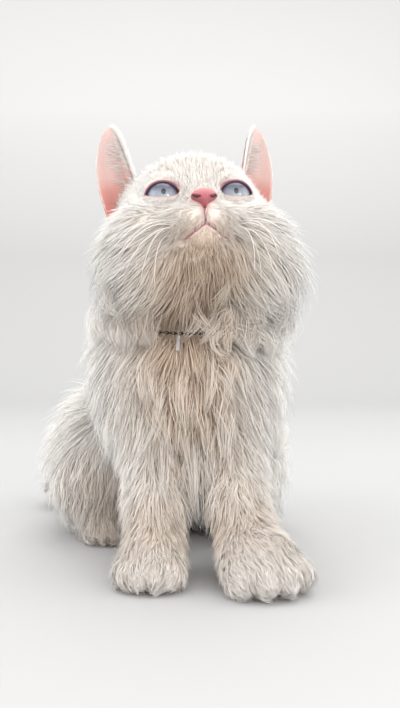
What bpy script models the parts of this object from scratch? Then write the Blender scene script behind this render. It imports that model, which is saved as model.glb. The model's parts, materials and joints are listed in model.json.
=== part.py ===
"""A still, life-size model of a white Persian cat that sits upright with its head lifted.

Units are metres, +Z is up and the cat faces -Y. The flesh is a smooth union of forms, ellipsoids and tapered
limbs, with the short coat and part of the long coat in it. It is meshed finely for the head and coarsely for the
body. Flat pointed locks carry the long coat to its full depth. Thin cuts then part the whole into nodes.
"""

import math

import bmesh
import bpy
import numpy as np
from mathutils import Euler, Matrix, Vector

SOLVER = "MANIFOLD"             # EXACT fails on the coat, where hundreds of locks overlap
GAP = 0.0003                    # clearance between nodes that touch
FOOTPRINT_CENTRE = Vector((-0.0346, 0.0395, 0.0))   # moved to the origin at the end

HEAD_PLACE = Vector((-0.0045, -0.045, 0.243))
HEAD_PITCH, HEAD_YAW, HEAD_ROLL = 22.0, 7.5, -2.3   # degrees: lifted, turned to +X, tipped

EYE_RADIUS = 0.0122
EYE_PLACE = (0.0243, -0.0285, 0.0020)   # of the left eye, in the head's frame
EYE_TURN = 4.0                  # degrees that each eye looks outwards
EYE_OPENING = (0.0113, 0.0078, 0.0066)  # half width, height above and height below its centre
LID_THICKNESS = 0.0013

NOSE_PLACE = (0.0, -0.0520, -0.0118)
NOSE_RADII = (0.0088, 0.0050, 0.0080)
NOSTRIL = ((0.0040, -0.0590, -0.0140), (0.0046, -0.0545, -0.0138), (0.0078, -0.0535, -0.0130),
           (0.0098, -0.0500, -0.0112))      # of the left side, in the head's frame
NOSTRIL_RADII = (0.0019, 0.0018, 0.0011, 0.0006)

LIPS = ((-0.0150, -0.040, -0.0350), (-0.0115, -0.046, -0.0330), (-0.0055, -0.052, -0.0300),
        (0, -0.054, -0.0283), (0.0055, -0.052, -0.0300), (0.0115, -0.046, -0.0330),
        (0.0150, -0.040, -0.0350))
LIP_RADII = (0.0006, 0.0011, 0.0012, 0.0013, 0.0012, 0.0011, 0.0006)
GROOVE = ((0, -0.056, -0.0185), (0, -0.056, -0.0230), (0, -0.054, -0.0283))
GROOVE_RADII = (0.0008, 0.0009, 0.0009)

EAR_ROOT_IN = (0.0375, 0.002, 0.032)    # of the left ear, in the head's frame
EAR_ROOT_OUT = (0.0600, 0.016, 0.018)
EAR_TIP = (0.0580, 0.006, 0.0845)
EAR_CUP = 0.013                 # how deep the cup is at its root
EAR_BACK = (-0.35, 0.94, 0.0)   # the way that the cup deepens
EAR_SINK = 0.16                 # share of the ear's length that reaches down into the head
EAR_THICKNESS = 0.0018

COLLAR_CENTRE = Vector((-0.008, -0.030, 0.176))
COLLAR_SLOPE = 17.0             # degrees that its front hangs below its back
COLLAR_CORD = 0.0013            # radius of the cord
TAG_BEARING = -9.0              # degrees round the collar from its front
TAG_SIZE = (0.0024, 0.0012, 0.0115)
TAG_RING, TAG_WIRE = 0.0024, 0.0005     # radii of the ring and of its wire
TAG_TILT = 0.35                 # how far the bar swings out with the chest
TAG_OVERLAP = 0.6               # share of the wire's radius that the bar reaches into

CORE_SHARE = 0.5                # how much of the long coat's depth the solid core holds
SHORT_COAT, LONG_COAT = 0.006, 0.012    # coats up to the first are all core, from the second have locks
HEAD_VOXEL, BODY_VOXEL = 0.0014, 0.0036
HEAD_FACES, BODY_FACES = 2500, 2100

LOCK_SEED = 11
LOCK_RINGS = 3
LOCK_LENGTH = (0.012, 2.0)      # metres, and times the coat's depth
LOCK_WIDTH = (0.006, 0.95)
LOCK_THICKNESS = 0.0026
LOCK_REACH = 1.06               # share of the coat's depth that the tips reach
LOCK_SINK = 0.0030              # depth of a root in the core
LOCK_SPACING = 1.42             # least distance between roots, in lock widths
LOCK_SWAY = 0.30                # radians that a lock may stray from the lie
LOCK_TRIES = 5000               # places tried for a root
LOCK_LOWEST = 0.012             # no root is lower than this
FLOOR_CLEARANCE = 0.0015        # lowest middle of a lock
CLEAR_OF_EAR, CLEAR_OF_TAG = 0.030, 0.010   # no root is nearer to them than this
COAT_MIX = 0.008                # reach over which two forms share their coat

# Places in the head's frame where the coat thins out: centre, where it is shortest, where it is whole again
THIN_COAT = (
    (EYE_PLACE, 0.0125, 0.0260),
    ((-EYE_PLACE[0], *EYE_PLACE[1:]), 0.0125, 0.0260),
    (NOSE_PLACE, 0.0080, 0.0240),
    ((0.0, -0.048, -0.031), 0.0100, 0.0230),
)
THINNEST = 0.12                 # share of the coat that is left at those places
SIDES = (("left", 1), ("right", -1))


def head_frame():
    """The head's own frame, in which the face looks along -Y, placed in the sculpting frame."""
    pitch = Matrix.Rotation(math.radians(-HEAD_PITCH), 4, "X")
    yaw = Matrix.Rotation(math.radians(HEAD_YAW), 4, "Z")
    roll = Matrix.Rotation(math.radians(HEAD_ROLL), 4, "Y")
    return Matrix.Translation(HEAD_PLACE) @ yaw @ pitch @ roll


HEAD = head_frame()
BODY = Matrix.Identity(4)


class Form:
    """One ellipsoid of flesh or, where an end is given, a tapered limb from centre to end."""

    def __init__(self, centre, radii, blend, coat, lie, end=None, turn=(0, 0, 0), frame=BODY):
        local = Matrix.Translation(centre) @ Euler([math.radians(a) for a in turn]).to_matrix().to_4x4()
        self.place = frame @ local
        self.radii = radii
        self.blend = blend
        self.coat = coat
        self.lie = np.array((frame.to_3x3() @ Vector(lie)).normalized())
        self.end = None if end is None else np.array(local.inverted() @ Vector(end))
        self.to_local = np.array(self.place.inverted())

    def distance(self, points):
        local = points @ self.to_local[:3, :3].T + self.to_local[:3, 3]
        if self.end is None:
            radii = np.array(self.radii)
            near = np.linalg.norm(local / radii, axis=1)
            slope = np.linalg.norm(local / radii**2, axis=1)
            return near * (near - 1) / np.maximum(slope, 1e-6)
        along = np.clip(local @ self.end / (self.end @ self.end), 0, 1)
        radius = self.radii[0] + along * (self.radii[1] - self.radii[0])
        return np.linalg.norm(local - along[:, None] * self.end, axis=1) - radius


def both(place, radii, blend, coat, lie, **more):
    """The same form on the head's left and right."""
    made = []
    for _, side in SIDES:
        mirrored = [(side * v[0], v[1], v[2]) for v in (place, lie)]
        extra = dict(more)
        if "end" in extra:
            extra["end"] = (side * extra["end"][0], *extra["end"][1:])
        if "turn" in extra:
            extra["turn"] = (extra["turn"][0], side * extra["turn"][1], side * extra["turn"][2])
        made.append(Form(mirrored[0], radii, blend, coat, mirrored[1], frame=HEAD, **extra))
    return made


HEAD_FORMS = [
    Form((0, 0.006, 0.006), (0.046, 0.044, 0.040), 0.012, 0.007, (0, 0.9, 0.2), frame=HEAD),
    Form((0, -0.021, 0.012), (0.033, 0.017, 0.019), 0.010, 0.005, (0, 0.5, 0.9), frame=HEAD),
    *both((0.033, -0.012, -0.016), (0.022, 0.025, 0.020), 0.012, 0.012, (0.8, 0.5, -0.5)),
    Form((0.033, 0.004, -0.036), (0.029, 0.030, 0.023), 0.014, 0.024, (0.7, 0.2, -0.8), frame=HEAD),
    Form((-0.029, 0.004, -0.032), (0.029, 0.030, 0.024), 0.014, 0.021, (-0.7, 0.2, -0.8), frame=HEAD),
    *both((0.0105, -0.0405, -0.0232), (0.0130, 0.0120, 0.0098), 0.005, 0.0025, (0.8, 0.5, -0.3)),
    *both((0.020, -0.029, -0.018), (0.015, 0.012, 0.012), 0.008, 0.004, (0.8, 0.5, -0.2)),
    Form((0, -0.025, 0.008), (0.0125, 0.0095), 0.008, 0.0025, (0, 0.3, 0.95),
         end=(0, -0.0420, -0.0090), frame=HEAD),
    Form((0, -0.0365, -0.0345), (0.0110, 0.0085, 0.0075), 0.005, 0.004, (0, 0.2, -1), frame=HEAD),
    Form((0, -0.016, -0.036), (0.028, 0.025, 0.015), 0.012, 0.015, (0, 0.1, -1), frame=HEAD),
]
TORSO_FORMS = [
    Form((-0.006, -0.030, 0.214), (0.038, 0.043), 0.016, 0.024, (0, 0.1, -1), end=(-0.010, 0.002, 0.172)),
    Form((-0.013, 0.004, 0.132), (0.047, 0.054, 0.066), 0.020, 0.021, (-0.05, 0.4, -0.9), turn=(-12, 0, 0)),
    Form((-0.008, -0.034, 0.126), (0.034, 0.030, 0.044), 0.020, 0.025, (0, 0.0, -1)),
    Form((-0.010, 0.022, 0.166), (0.033, 0.034, 0.032), 0.020, 0.021, (-0.05, 0.6, -0.8)),
    Form((-0.022, 0.052, 0.082), (0.052, 0.060, 0.056), 0.024, 0.021, (-0.05, 0.4, -0.9)),
    Form((-0.032, 0.100, 0.062), (0.056, 0.052, 0.054), 0.024, 0.022, (-0.05, 0.6, -0.8)),
    Form((0.032, -0.014, 0.130), (0.020, 0.028, 0.038), 0.020, 0.019, (0.1, 0.2, -1)),
    Form((-0.052, -0.012, 0.138), (0.019, 0.028, 0.038), 0.020, 0.017, (-0.1, 0.2, -1)),
]


def foreleg(elbow, wrist, heel, toes_to, size):
    """Upper leg, lower leg and paw with four toes fanned about the way that it points."""
    down = (0, 0, -1)
    point = Vector(toes_to).normalized()
    across = Vector((-point.y, point.x, 0))
    forms = [
        Form(elbow, (0.021, 0.0140), 0.016, 0.011, down, end=wrist),
        Form(wrist, (0.0140, 0.0150), 0.010, 0.009, down, end=heel),
    ]
    palm = Vector(heel) + point * 0.012 * size
    palm_radii = (0.0175 * size, 0.0175 * size, 0.0135 * size)
    forms.append(Form((palm.x, palm.y, 0.0125 * size), palm_radii, 0.010, 0.0045, (*point.xy, -0.4)))
    for offset, reach in ((-1.5, 0.0215), (-0.5, 0.0270), (0.5, 0.0270), (1.5, 0.0215)):
        toe = Vector(heel) + size * (point * reach + across * offset * 0.0092)
        heading = math.degrees(math.atan2(point.y, point.x)) + 90 + offset * 6
        radii = (0.0062 * size, 0.0105 * size, 0.0082 * size)
        forms.append(Form((toe.x, toe.y, 0.0085 * size), radii, 0.004, 0.0022,
                          (*point.xy, -0.5), turn=(0, 0, heading)))
    return forms


def hindleg(thigh, knee, hock, toe_base, side):
    """Thigh, shank, the long foot flat on the floor, and its toes."""
    point = (Vector(toe_base) - Vector(hock)).normalized()
    across = Vector((-point.y, point.x, 0)).normalized()
    forms = [
        Form(thigh, (0.030, 0.050, 0.054), 0.020, 0.021, (side * 0.1, 0.2, -1)),
        Form(knee, (0.024, 0.016), 0.016, 0.014, (side * 0.1, 0.1, -1), end=hock),
        Form(hock, (0.0145, 0.0135), 0.010, 0.008, (*point.xy, -0.5), end=toe_base),
    ]
    for offset, reach in ((-1.5, 0.006), (-0.5, 0.011), (0.5, 0.011), (1.5, 0.006)):
        toe = Vector(toe_base) + point * reach + across * offset * 0.0082
        heading = math.degrees(math.atan2(point.y, point.x)) + 90 + offset * 6
        forms.append(Form((toe.x, toe.y, 0.0080), (0.0056, 0.0100, 0.0076), 0.004, 0.0022,
                          (*point.xy, -0.5), turn=(0, 0, heading)))
    return forms


LEG_FORMS = [
    *foreleg((-0.038, -0.030, 0.106), (-0.031, -0.064, 0.048), (-0.030, -0.078, 0.020), (-0.10, -1, 0), 1.08),
    *foreleg((0.022, -0.030, 0.106), (0.026, -0.066, 0.048), (0.0325, -0.083, 0.020), (0.36, -1, 0), 1.36),
    *hindleg((-0.083, 0.060, 0.058), (-0.084, 0.034, 0.048), (-0.078, 0.092, 0.018),
             (-0.072, 0.020, 0.014), -1),
    *hindleg((0.025, 0.056, 0.064), (0.033, 0.034, 0.050), (0.038, 0.088, 0.018),
             (0.044, 0.012, 0.014), 1),
]
TAIL_PATH = ((-0.034, 0.132, 0.046), (-0.040, 0.166, 0.034), (-0.064, 0.190, 0.027), (-0.098, 0.188, 0.025),
             (-0.124, 0.172, 0.024), (-0.131, 0.148, 0.023))
TAIL_RADII = (0.0130, 0.0120, 0.0110, 0.0105, 0.0100, 0.0080)
TAIL_FORMS = [
    Form(a, (ra, rb), 0.010, 0.013, Vector(b) - Vector(a), end=b)
    for a, b, ra, rb in zip(TAIL_PATH, TAIL_PATH[1:], TAIL_RADII, TAIL_RADII[1:])
]
CAT_FORMS = HEAD_FORMS + TORSO_FORMS + LEG_FORMS + TAIL_FORMS


def thinning(points):
    """Share of the coat that is left round the eyes, the nose and the mouth."""
    share = np.ones(len(points))
    for centre, shortest, whole in THIN_COAT:
        reach = np.linalg.norm(points - np.array(HEAD @ Vector(centre)), axis=1)
        rise = np.clip((reach - shortest) / (whole - shortest), 0, 1)
        share = np.minimum(share, THINNEST + (1 - THINNEST) * rise * rise * (3 - 2 * rise))
    return share


def coat_at(points, forms):
    """The coat's depth and its lie at these points, shared between the forms nearest to them."""
    distances = np.stack([form.distance(points) for form in forms])
    weights = np.exp(-(distances - distances.min(axis=0)) / COAT_MIX)
    weights /= weights.sum(axis=0)
    depth = weights.T @ np.array([form.coat for form in forms]) * thinning(points)
    lie = weights.T @ np.array([form.lie for form in forms])
    return depth, lie / np.linalg.norm(lie, axis=1, keepdims=True)


def height(points, forms, share):
    """Signed height above the coat, of which the long parts count only for the given share."""
    total = forms[0].distance(points)
    for form in forms[1:]:
        other = form.distance(points)
        near = np.clip(1 - np.abs(total - other) / form.blend, 0, 1)
        total = np.minimum(total, other) - near**2 * form.blend / 4
    coat = coat_at(points, forms)[0]
    long = np.clip((coat - SHORT_COAT) / (LONG_COAT - SHORT_COAT), 0, 1)
    return total - coat * (1 - (1 - share) * long)


def slope(points, forms, share):
    """Gradient of the height, by central differences."""
    step = 2e-4
    return np.stack([
        (height(points + axis, forms, share) - height(points - axis, forms, share)) / (2 * step)
        for axis in np.eye(3) * step
    ], axis=1)


def settled(points, forms, share, level=0.0, rounds=6):
    """Points moved along the slope until they lie at the level."""
    for _ in range(rounds):
        rise = slope(points, forms, share)
        step = (height(points, forms, share) - level) / np.maximum((rise**2).sum(axis=1), 0.05)
        points = points - np.clip(step, -0.004, 0.004)[:, None] * rise
    return points


def clear_scene():
    for obj in list(bpy.data.objects):
        bpy.data.objects.remove(obj)


def collection(name, shown=True):
    made = bpy.data.collections.new(name)
    bpy.context.scene.collection.children.link(made)
    made.hide_render = not shown
    return made


clear_scene()
CAT = collection("persian_cat")
HELPERS = collection("helpers", shown=False)


def new_object(name, mesh, helper=False):
    obj = bpy.data.objects.new(name, mesh)
    (HELPERS if helper else CAT).objects.link(obj)
    if helper:
        obj.hide_render = True
        obj.display_type = "WIRE"
    return obj


def from_bmesh(name, shape, helper=True):
    mesh = bpy.data.meshes.new(name)
    shape.to_mesh(mesh)
    shape.free()
    return new_object(name, mesh, helper)


def read_points(mesh):
    points = np.empty(len(mesh.vertices) * 3)
    mesh.vertices.foreach_get("co", points)
    return points.reshape(-1, 3)


def write_points(mesh, points):
    mesh.vertices.foreach_set("co", np.asarray(points, np.float32).ravel())
    mesh.update()


def evaluated(obj):
    """The object's mesh with its modifiers applied, kept on the object."""
    graph = bpy.context.evaluated_depsgraph_get()
    mesh = bpy.data.meshes.new_from_object(obj.evaluated_get(graph))
    obj.modifiers.clear()
    obj.data = mesh
    return obj


def boolean(obj, other, operation):
    """Applies one Boolean and removes the other object."""
    modifier = obj.modifiers.new("boolean", "BOOLEAN")
    modifier.operation = operation
    modifier.solver = SOLVER
    modifier.object = other
    evaluated(obj)
    bpy.data.objects.remove(other)
    return obj


def copied(obj, name, grow=0.0):
    """A helper copy, with its vertices moved out along their normals."""
    mesh = obj.data.copy()
    copy = new_object(name, mesh, helper=True)
    if grow:
        normals = np.empty(len(mesh.vertices) * 3)
        mesh.vertices.foreach_get("normal", normals)
        write_points(mesh, read_points(mesh) + grow * normals.reshape(-1, 3))
    return copy


def keep_largest(obj):
    """Keeps the largest closed surface of the object, so that loose scraps and sealed hollows go."""
    shape = bmesh.new()
    shape.from_mesh(obj.data)
    shape.verts.ensure_lookup_table()
    unseen = set(shape.verts)
    islands = []
    while unseen:
        island = {unseen.pop()}
        front = list(island)
        while front:
            vert = front.pop()
            for edge in vert.link_edges:
                other = edge.other_vert(vert)
                if other in unseen:
                    unseen.discard(other)
                    island.add(other)
                    front.append(other)
        islands.append(island)

    def reach(island):
        places = np.array([v.co for v in island])
        return float(np.prod(np.ptp(places, axis=0)))

    largest = max(islands, key=reach)
    bmesh.ops.delete(shape, geom=[v for v in shape.verts if v not in largest], context="VERTS")
    shape.to_mesh(obj.data)
    shape.free()
    return obj


def blockout(forms, share):
    """The forms as overlapping primitives in one mesh."""
    shape = bmesh.new()
    for form in forms:
        extra = share * form.coat
        if form.end is None:
            size = Matrix.Diagonal([r + extra for r in form.radii] + [1])
            bmesh.ops.create_uvsphere(shape, u_segments=24, v_segments=16, radius=1, matrix=form.place @ size)
            continue
        axis = Vector(form.end)
        turned = form.place @ Vector((0, 0, 1)).rotation_difference(axis).to_matrix().to_4x4()
        for along, radius in ((0, form.radii[0]), (axis.length, form.radii[1])):
            ball = turned @ Matrix.Translation((0, 0, along))
            bmesh.ops.create_uvsphere(shape, u_segments=20, v_segments=12, radius=radius + extra, matrix=ball)
        bmesh.ops.create_cone(shape, cap_ends=True, segments=20, radius1=form.radii[0] + extra,
                              radius2=form.radii[1] + extra, depth=axis.length,
                              matrix=turned @ Matrix.Translation((0, 0, axis.length / 2)))
    return shape


def flesh(name, forms, voxel, faces, around=(), lowest=0.0):
    """The smooth union of the forms as one closed mesh of about so many triangles."""
    obj = from_bmesh(name, blockout(forms, CORE_SHARE))
    remesh = obj.modifiers.new("skin", "REMESH")
    remesh.mode = "VOXEL"
    remesh.voxel_size = voxel
    evaluated(obj)
    points = read_points(obj.data)
    moved = points[:, 2] > lowest
    points[moved] = settled(points[moved], [*forms, *around], CORE_SHARE)
    write_points(obj.data, points)
    triangulate = obj.modifiers.new("triangles", "TRIANGULATE")
    triangulate.quad_method = "SHORTEST_DIAGONAL"
    evaluated(obj)
    decimate = obj.modifiers.new("fewer", "DECIMATE")
    decimate.ratio = min(1.0, faces / len(obj.data.polygons))
    return evaluated(obj)


def unit(vectors):
    return vectors / np.maximum(np.linalg.norm(vectors, axis=1, keepdims=True), 1e-9)


def along_coat(points, forms, share):
    """Outward normals, and the coat's lie laid flat on the surface."""
    normals = unit(slope(points, forms, share))
    lie = coat_at(points, forms)[1]
    flat = lie - (lie * normals).sum(axis=1, keepdims=True) * normals
    return normals, unit(flat + 1e-6)


def lock_roots(skin, rng, allowed):
    """Roots spread over the skin's mesh where the coat is long, closer where locks are narrow."""
    skin.data.calc_loop_triangles()
    corners = read_points(skin.data)[np.array([t.vertices for t in skin.data.loop_triangles])]
    sides = np.cross(corners[:, 1] - corners[:, 0], corners[:, 2] - corners[:, 0])
    areas = np.linalg.norm(sides, axis=1)
    chosen = rng.choice(len(corners), LOCK_TRIES, p=areas / areas.sum())
    mix = rng.dirichlet((1, 1, 1), LOCK_TRIES)
    points = (corners[chosen] * mix[:, :, None]).sum(axis=1)
    coats = coat_at(points, CAT_FORMS)[0]
    keep = (coats > (SHORT_COAT + LONG_COAT) / 2) & (points[:, 2] > LOCK_LOWEST) & allowed(points)
    points, coats = points[keep], coats[keep]
    widths = LOCK_WIDTH[0] + LOCK_WIDTH[1] * coats
    taken = []
    for i, point in enumerate(points):
        near = np.linalg.norm(points[taken] - point, axis=1) < LOCK_SPACING * widths[i] if taken else np.array([])
        if not near.any():
            taken.append(i)
    return points[taken], coats[taken], widths[taken]


def add_locks(skin, allowed, seed):
    """Flat, tapered locks that follow the lie and rise from the core to the coat's full depth."""
    rng = np.random.default_rng(seed)
    roots, coats, widths = lock_roots(skin, rng, allowed)
    count = len(roots)
    lengths = (LOCK_LENGTH[0] + LOCK_LENGTH[1] * coats) * rng.uniform(0.85, 1.2, count)
    stray = rng.uniform(-LOCK_SWAY, LOCK_SWAY, count)[:, None]
    curl = rng.uniform(-0.5, 0.5, count)[:, None]
    normals, lies = along_coat(roots, CAT_FORMS, CORE_SHARE)
    points = roots
    rings = []
    for ring in range(LOCK_RINGS + 1):
        along = ring / LOCK_RINGS
        across = np.cross(normals, lies)
        rings.append((points, normals, across))
        heading = unit(lies + across * (stray + curl * along))
        points = points + heading * lengths[:, None] / LOCK_RINGS
        share = CORE_SHARE + (LOCK_REACH - CORE_SHARE) * (ring + 1) / LOCK_RINGS
        points = settled(points, CAT_FORMS, share, rounds=3)
        points[:, 2] = np.maximum(points[:, 2], FLOOR_CLEARANCE)
        new_normals, new_lies = along_coat(points, CAT_FORMS, CORE_SHARE)
        normals = unit(normals + new_normals)
        lies = unit(lies + new_lies)
    holder = collection("locks", shown=False)
    for i in range(count):
        shape = bmesh.new()
        loops = []
        for ring in range(LOCK_RINGS):
            along = ring / LOCK_RINGS
            at, up, across = (Vector(v[i]) for v in rings[ring])
            half = widths[i] / 2 * (0.75 + 0.9 * along) * (1 - along**2.2)
            thick = LOCK_THICKNESS / 2 * (1.25 - along)
            if ring == 0:
                at = at - up * LOCK_SINK
            loops.append([shape.verts.new(at + v) for v in (across * half, up * thick, -across * half, -up * thick)])
        tip = shape.verts.new(rings[LOCK_RINGS][0][i])
        shape.faces.new(loops[0][::-1])
        for low, high in zip(loops, loops[1:]):
            for a in range(4):
                b = (a + 1) % 4
                shape.faces.new((low[a], low[b], high[b], high[a]))
        for a in range(4):
            shape.faces.new((loops[-1][a], loops[-1][(a + 1) % 4], tip))
        bmesh.ops.triangulate(shape, faces=shape.faces)
        bmesh.ops.recalc_face_normals(shape, faces=shape.faces)
        lock = from_bmesh("lock", shape)
        HELPERS.objects.unlink(lock)
        holder.objects.link(lock)
    union = skin.modifiers.new("locks", "BOOLEAN")
    union.operation = "UNION"
    union.solver = SOLVER
    union.operand_type = "COLLECTION"
    union.collection = holder
    evaluated(skin)
    for lock in list(holder.objects):
        bpy.data.objects.remove(lock)
    bpy.data.collections.remove(holder)
    return skin


def box(name, low, high, turn=(0, 0, 0), about=(0, 0, 0)):
    """A cutter box between two corners, turned about a point."""
    shape = bmesh.new()
    low, high = Vector(low), Vector(high)
    turned = Matrix.Translation(about) @ Euler([math.radians(a) for a in turn]).to_matrix().to_4x4()
    place = turned @ Matrix.Translation((low + high) / 2) @ Matrix.Diagonal([*(high - low), 1])
    bmesh.ops.create_cube(shape, size=1, matrix=place)
    return from_bmesh(name, shape)


def region_box(region, grow=0.0):
    """A node's region, which is a box in its own turned frame."""
    low, high, turn, about = region
    low = [v - grow for v in low]
    high = [v + grow for v in high]
    return box("region", low, high, turn, about)


NO_TURN = ((0, 0, 0), (0, 0, 0))
TAIL_CUT = -0.084               # where the tail is parted, across X
FAR = 0.5
REGIONS = {
    "head": ((-FAR, -FAR, 0), (FAR, FAR, FAR), (6, 0, 0), (-0.005, -0.040, 0.206)),
    "neck": ((-FAR, -FAR, 0), (FAR, FAR, FAR), (COLLAR_SLOPE, 0, 0), tuple(COLLAR_CENTRE)),
    "forepaw_right": ((-0.075, -0.140, -0.01), (-0.0045, -0.0520, 0.030), *NO_TURN),
    "forepaw_left": ((0.0010, -0.150, -0.01), (0.080, -0.0560, 0.030), *NO_TURN),
    "foreleg_right": ((-0.080, -0.140, -0.01), (-0.0045, -0.006, 0.086), *NO_TURN),
    "foreleg_left": ((-0.0035, -0.150, -0.01), (0.075, -0.006, 0.086), *NO_TURN),
    "hindpaw_right": ((-0.125, -0.03, -0.01), (-0.055, 0.052, 0.027), *NO_TURN),
    "hindpaw_left": ((0.0200, -0.03, -0.01), (0.090, 0.042, 0.027), *NO_TURN),
    "hindleg_right": ((-FAR, -0.03, -0.02), (0, 0.130, 0.132), (0, -14, 0), (-0.046, 0, 0)),
    "hindleg_left": ((0, -0.03, -0.02), (FAR, 0.128, 0.132), (0, 14, 0), (-0.002, 0, 0)),
    "tail_tip": ((-FAR, 0.1290, -0.01), (TAIL_CUT, FAR, 0.070), *NO_TURN),
    "tail_base": ((TAIL_CUT - 0.001, 0.1500, -0.01), (0.0, FAR, 0.070), *NO_TURN),
    "chest": ((-FAR, -FAR, -FAR), (FAR, 0, FAR), (-12, 0, 0), (0, 0.004, 0.130)),
    "torso": ((-FAR, -FAR, -0.01), (FAR, FAR, FAR), *NO_TURN),
}


def parted(name, whole, region, taken):
    """One node: the whole body inside its region, less the regions already taken."""
    obj = copied(whole, name)
    boolean(obj, region_box(REGIONS[region]), "INTERSECT")
    for other in taken:
        boolean(obj, region_box(REGIONS[other], grow=GAP), "DIFFERENCE")
    keep_largest(obj)
    HELPERS.objects.unlink(obj)
    CAT.objects.link(obj)
    obj.hide_render = False
    obj.display_type = "TEXTURED"
    obj.name = name
    return obj


def ball(name, centre, radius, frame, segments=20):
    shape = bmesh.new()
    place = frame @ Matrix.Translation(centre)
    bmesh.ops.create_uvsphere(shape, u_segments=segments, v_segments=segments * 2 // 3, radius=radius,
                              matrix=place @ Matrix.Rotation(math.radians(90), 4, "X"))
    return from_bmesh(name, shape)


def as_mesh(obj):
    """A curve made a closed mesh, with its caps welded."""
    graph = bpy.context.evaluated_depsgraph_get()
    mesh = bpy.data.meshes.new_from_object(obj.evaluated_get(graph))
    shape = bmesh.new()
    shape.from_mesh(mesh)
    bmesh.ops.remove_doubles(shape, verts=shape.verts, dist=1e-5)
    bmesh.ops.transform(shape, matrix=obj.matrix_world, verts=shape.verts)
    bmesh.ops.recalc_face_normals(shape, faces=shape.faces)
    shape.to_mesh(mesh)
    shape.free()
    name = obj.name
    bpy.data.objects.remove(obj)
    return new_object(name, mesh, helper=True)


def tube(name, points, radii, sides=2, cyclic=False):
    """A tube through the points with a radius at each."""
    curve = bpy.data.curves.new(name, "CURVE")
    curve.dimensions = "3D"
    curve.bevel_depth = 1.0
    curve.bevel_resolution = sides
    curve.use_fill_caps = not cyclic
    spline = curve.splines.new("POLY")
    spline.points.add(len(points) - 1)
    spline.use_cyclic_u = cyclic
    for place, point, radius in zip(spline.points, points, radii):
        place.co = (*point, 1)
        place.radius = radius
    return as_mesh(new_object(name, curve, helper=True))


def prism(name, outline, depth, frame):
    """A flat outline in the frame's XZ plane, extruded along -Y."""
    curve = bpy.data.curves.new(name, "CURVE")
    curve.dimensions = "2D"
    curve.fill_mode = "BOTH"
    curve.extrude = depth / 2
    spline = curve.splines.new("POLY")
    spline.points.add(len(outline) - 1)
    spline.use_cyclic_u = True
    for place, point in zip(spline.points, outline):
        place.co = (*point, 0, 1)
    obj = new_object(name, curve, helper=True)
    obj.matrix_world = frame @ Matrix.Rotation(math.radians(90), 4, "X") @ Matrix.Translation((0, 0, depth / 2))
    bpy.context.view_layer.update()
    return as_mesh(obj)


def eye_frame(side):
    """A frame at an eye's centre, looking along its own -Y."""
    x, y, z = EYE_PLACE
    turn = Matrix.Rotation(math.radians(side * EYE_TURN), 4, "Z")
    return HEAD @ Matrix.Translation((side * x, y, z)) @ turn


def eye_outline(steps=20):
    """The almond between the lids, pointed at its corners."""
    half, above, below = EYE_OPENING
    outline = []
    for i in range(steps):
        angle = 2 * math.pi * i / steps
        rise = above if math.sin(angle) > 0 else below
        outline.append((half * math.cos(angle), rise * math.sin(angle) * abs(math.sin(angle)) ** 0.25))
    return outline


def add_eyes(head):
    """Lids round each globe, an almond opening, and the globe in its socket."""
    for name, side in SIDES:
        frame = eye_frame(side)
        boolean(head, ball("lid", (0, 0, 0), EYE_RADIUS + LID_THICKNESS, frame), "UNION")
    for name, side in SIDES:
        frame = eye_frame(side)
        boolean(head, prism("opening", eye_outline(), EYE_RADIUS * 2, frame), "DIFFERENCE")
        boolean(head, ball("socket", (0, 0, 0), EYE_RADIUS + GAP, frame), "DIFFERENCE")
        eye = ball("eye_" + name, (0, 0, 0), EYE_RADIUS, frame)
        show(eye)


def show(obj):
    HELPERS.objects.unlink(obj)
    CAT.objects.link(obj)
    obj.hide_render = False
    obj.display_type = "TEXTURED"
    return obj


def nose_pad(name, grow=0.0):
    """The nose leather: a rounded pad, broad above and narrow below."""
    shape = bmesh.new()
    bmesh.ops.create_uvsphere(shape, u_segments=18, v_segments=12, radius=1)
    radii = [r + grow for r in NOSE_RADII]
    for vert in shape.verts:
        narrowing = 1 + 0.42 * vert.co.z - 0.10 * vert.co.z**2
        vert.co = (vert.co.x * radii[0] * narrowing, vert.co.y * radii[1], vert.co.z * radii[2])
    bmesh.ops.transform(shape, matrix=HEAD @ Matrix.Translation(NOSE_PLACE), verts=shape.verts)
    return from_bmesh(name, shape)


def nostril(side):
    """A cutter: a round hole with a slit that curls outwards and up."""
    points = [HEAD @ Vector((side * x, y, z)) for x, y, z in NOSTRIL]
    return tube("nostril", points, NOSTRIL_RADII)


def add_nose(head):
    nose = show(nose_pad("nose"))
    boolean(head, nose_pad("nose_bed", grow=GAP), "DIFFERENCE")
    for _, side in SIDES:
        boolean(nose, nostril(side), "DIFFERENCE")
        boolean(head, nostril(side), "DIFFERENCE")
    keep_largest(nose)


def on_face(places):
    """Points in the head's frame, laid on the face."""
    points = np.array([HEAD @ Vector(place) for place in places])
    return [Vector(p) for p in settled(points, HEAD_FORMS, CORE_SHARE)]


def add_mouth(head):
    """The line of the lips, a wide inverted V, and the groove up to the nose."""
    boolean(head, tube("lips", on_face(LIPS), LIP_RADII), "DIFFERENCE")
    boolean(head, tube("groove", on_face(GROOVE), GROOVE_RADII), "DIFFERENCE")


def ear_point(across, up, side):
    """A point of the ear's sheet: across from -1 at its inner edge to 1 at its outer edge."""
    root_in, root_out, tip = (Vector(v) for v in (EAR_ROOT_IN, EAR_ROOT_OUT, EAR_TIP))
    middle = (root_in + root_out) / 2
    half = (root_out - root_in) / 2
    width = (1 - max(up, 0.0) ** 3.0) ** 0.62
    spine = middle.lerp(tip, up) + Vector((0.002, 0.0, 0)) * math.sin(math.pi * up)
    back = Vector(EAR_BACK).normalized()
    cup = EAR_CUP * (1 - up) ** 0.7 * (1 - across**2)
    place = spine + half * across * width * 1.04 + back * cup
    return HEAD @ Vector((side * place.x, place.y, place.z))


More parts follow.
